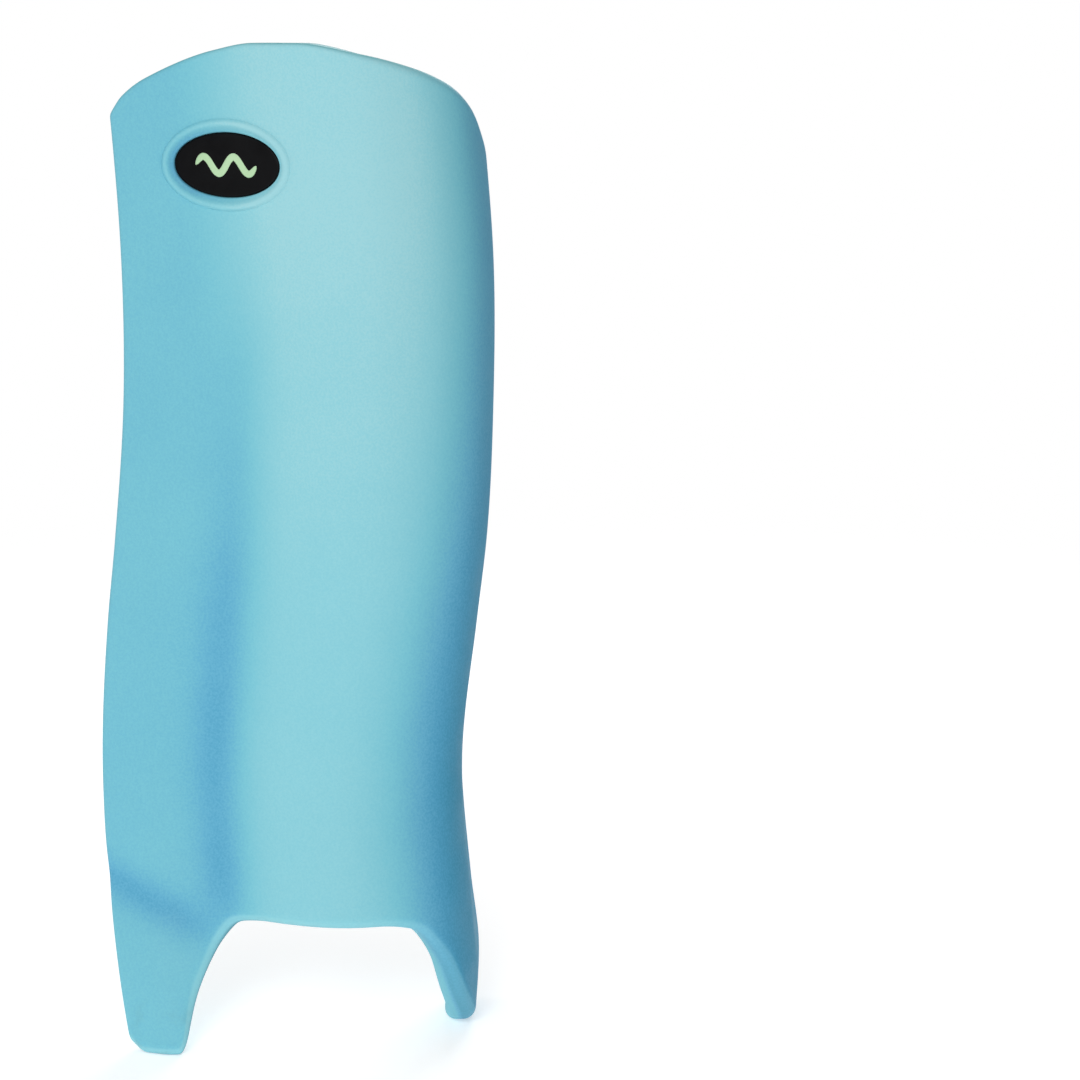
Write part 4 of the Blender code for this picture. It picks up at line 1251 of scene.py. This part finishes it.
def screw_mesh():
    """A pan-head screw with a cross recess, its head's seat at the origin and its shank along -Y."""
    radius, height, shank = 0.0030, SCREW_HEAD, 0.0015
    profile = [(0.00001, height)]
    profile += [
        (radius * math.sin(a), height * (0.45 + 0.55 * math.cos(a)))
        for a in np.linspace(0.15, math.pi / 2, 9)
    ]
    profile += [
        (radius, 0.0001), (radius - 0.0001, 0.0), (shank, 0.0), (shank, -0.004), (0.00001, -0.004),
    ]
    angle = np.linspace(0, TAU, 40, endpoint=False)
    rings = np.array([[(r * math.cos(a), y, r * math.sin(a)) for a in angle] for r, y in profile])
    head = rings_object("screw_shape", rings)
    cutters = []
    for size in ((0.0030, 0.0022, 0.0007), (0.0007, 0.0022, 0.0030)):
        mesh = box_mesh(size, (0, height + 0.0002, 0))
        data = bpy.data.meshes.new("recess")
        mesh.to_mesh(data)
        mesh.free()
        cutter = link("recess", data)
        cutters.append(cutter)
        boolean = head.modifiers.new("recess", "BOOLEAN")
        boolean.operation = "DIFFERENCE"
        boolean.object = cutter
    bevel = head.modifiers.new("edges", "BEVEL")
    bevel.width = 0.00008
    bevel.segments = 1
    apply_modifiers(head)
    for cutter in cutters:
        bpy.data.objects.remove(cutter)
    data = head.data
    data.set_sharp_from_angle(angle=math.radians(35))
    bpy.data.objects.remove(head)
    return data


def hardware(place, screw):
    """The strap's bracket with its screws and insert, its adjuster and its pull tab."""
    wear(refined("bracket_" + place, "strap_bracket_" + place, 0.0005), STEEL, "guard")
    slider = refined("slider_" + place, "adjuster_" + place, 0.0004, 2)
    wear(slider, NYLON, "slider_" + place)
    tab = refined("pull_tab_" + place, "grip_tab_" + place, 0.0003, 2)
    wear(tab, RUBBER, "flap_" + place)
    insert = frame["nodes"]["insert_" + place]
    insert.data.materials.clear()
    insert.data.materials.append(GREY_NYLON)
    for number, end in enumerate(("lower", "upper")):
        node = f"screw_{place}_{end}"
        near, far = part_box(node)
        data = screw.copy()
        turn = Matrix.Rotation(0.4 + 0.9 * number + len(place), 4, "Y")
        seat = ((near.x + far.x) / 2, far.y - SCREW_HEAD, (near.z + far.z) / 2)
        data.transform(Matrix.Translation(seat) @ turn)
        obj = link(f"pan_screw_{place}_{end}", data)
        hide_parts(node)
        wear(obj, STEEL, "guard")


def straps():
    screw = screw_mesh()
    for place in PLACES:
        strap(place)
        hook_tape(place)
        loop_tape(place)
        hardware(place, screw)


# Stage, camera and light


def stage():
    count, radius = 96, 3.0
    turn = np.linspace(0, TAU, count, endpoint=False)
    rim = [(radius * math.cos(a), radius * math.sin(a), 0) for a in turn]
    data = bpy.data.meshes.new("floor")
    data.from_pydata(rim, [], [tuple(range(count))])
    floor = link("floor", data)
    f = Finish("floor white", 0.9, specular=0.05)
    f.paint(f.mix(f.patches(3.0), (0.84, 0.84, 0.84, 1), (0.86, 0.86, 0.86, 1)))
    f.shader.inputs["Emission Color"].default_value = (1, 1, 1, 1)
    f.shader.inputs["Emission Strength"].default_value = 0.42
    reach = f.node("ShaderNodeVectorMath", {"operation": "LENGTH"}, _0=f.place).outputs["Value"]
    f.tree.links.new(f.span(reach, 0.7, 2.2, 1.0, 0.0), f.shader.inputs["Alpha"])
    floor.data.materials.append(f.material)


def camera():
    data = bpy.data.cameras.new("camera")
    data.lens = 100
    data.sensor_width = 36
    obj = link("camera", data)
    obj.location = (0.16967, -2.0649, 0.7207)
    obj.rotation_euler = (math.radians(80), 0, 0)
    bpy.context.scene.camera = obj


def light(name, place, size, power):
    """A soft round light, aimed at the middle of the guard."""
    data = bpy.data.lights.new(name, "AREA")
    data.shape = "DISK"
    data.size = size
    data.energy = power
    obj = link(name, data)
    obj.location = place
    obj.rotation_euler = (Vector(GUARD_MIDDLE) - Vector(place)).to_track_quat("-Z", "Y").to_euler()


def lights():
    world = bpy.data.worlds.new("studio")
    world.use_nodes = True
    tree = world.node_tree
    room = tree.nodes["Background"]
    backdrop = tree.nodes.new("ShaderNodeBackground")
    for node, strength in ((room, 0.34), (backdrop, 1.0)):
        node.inputs["Color"].default_value = (1, 1, 1, 1)
        node.inputs["Strength"].default_value = strength
    path = tree.nodes.new("ShaderNodeLightPath")
    mixed = tree.nodes.new("ShaderNodeMixShader")
    tree.links.new(path.outputs["Is Camera Ray"], mixed.inputs[0])
    tree.links.new(room.outputs[0], mixed.inputs[1])
    tree.links.new(backdrop.outputs[0], mixed.inputs[2])
    tree.links.new(mixed.outputs[0], tree.nodes["World Output"].inputs["Surface"])
    bpy.context.scene.world = world
    light("key", (-0.35, -2.4, 1.5), 1.0, 34)
    light("back", (0.5, 2.0, 1.5), 1.4, 26)
    light("side", (-2.2, 0.3, 1.1), 1.2, 8)
    bpy.context.scene.view_settings.view_transform = "Standard"


camera()
shell()
walls()
badge()
pads()
straps()
stage()
lights()
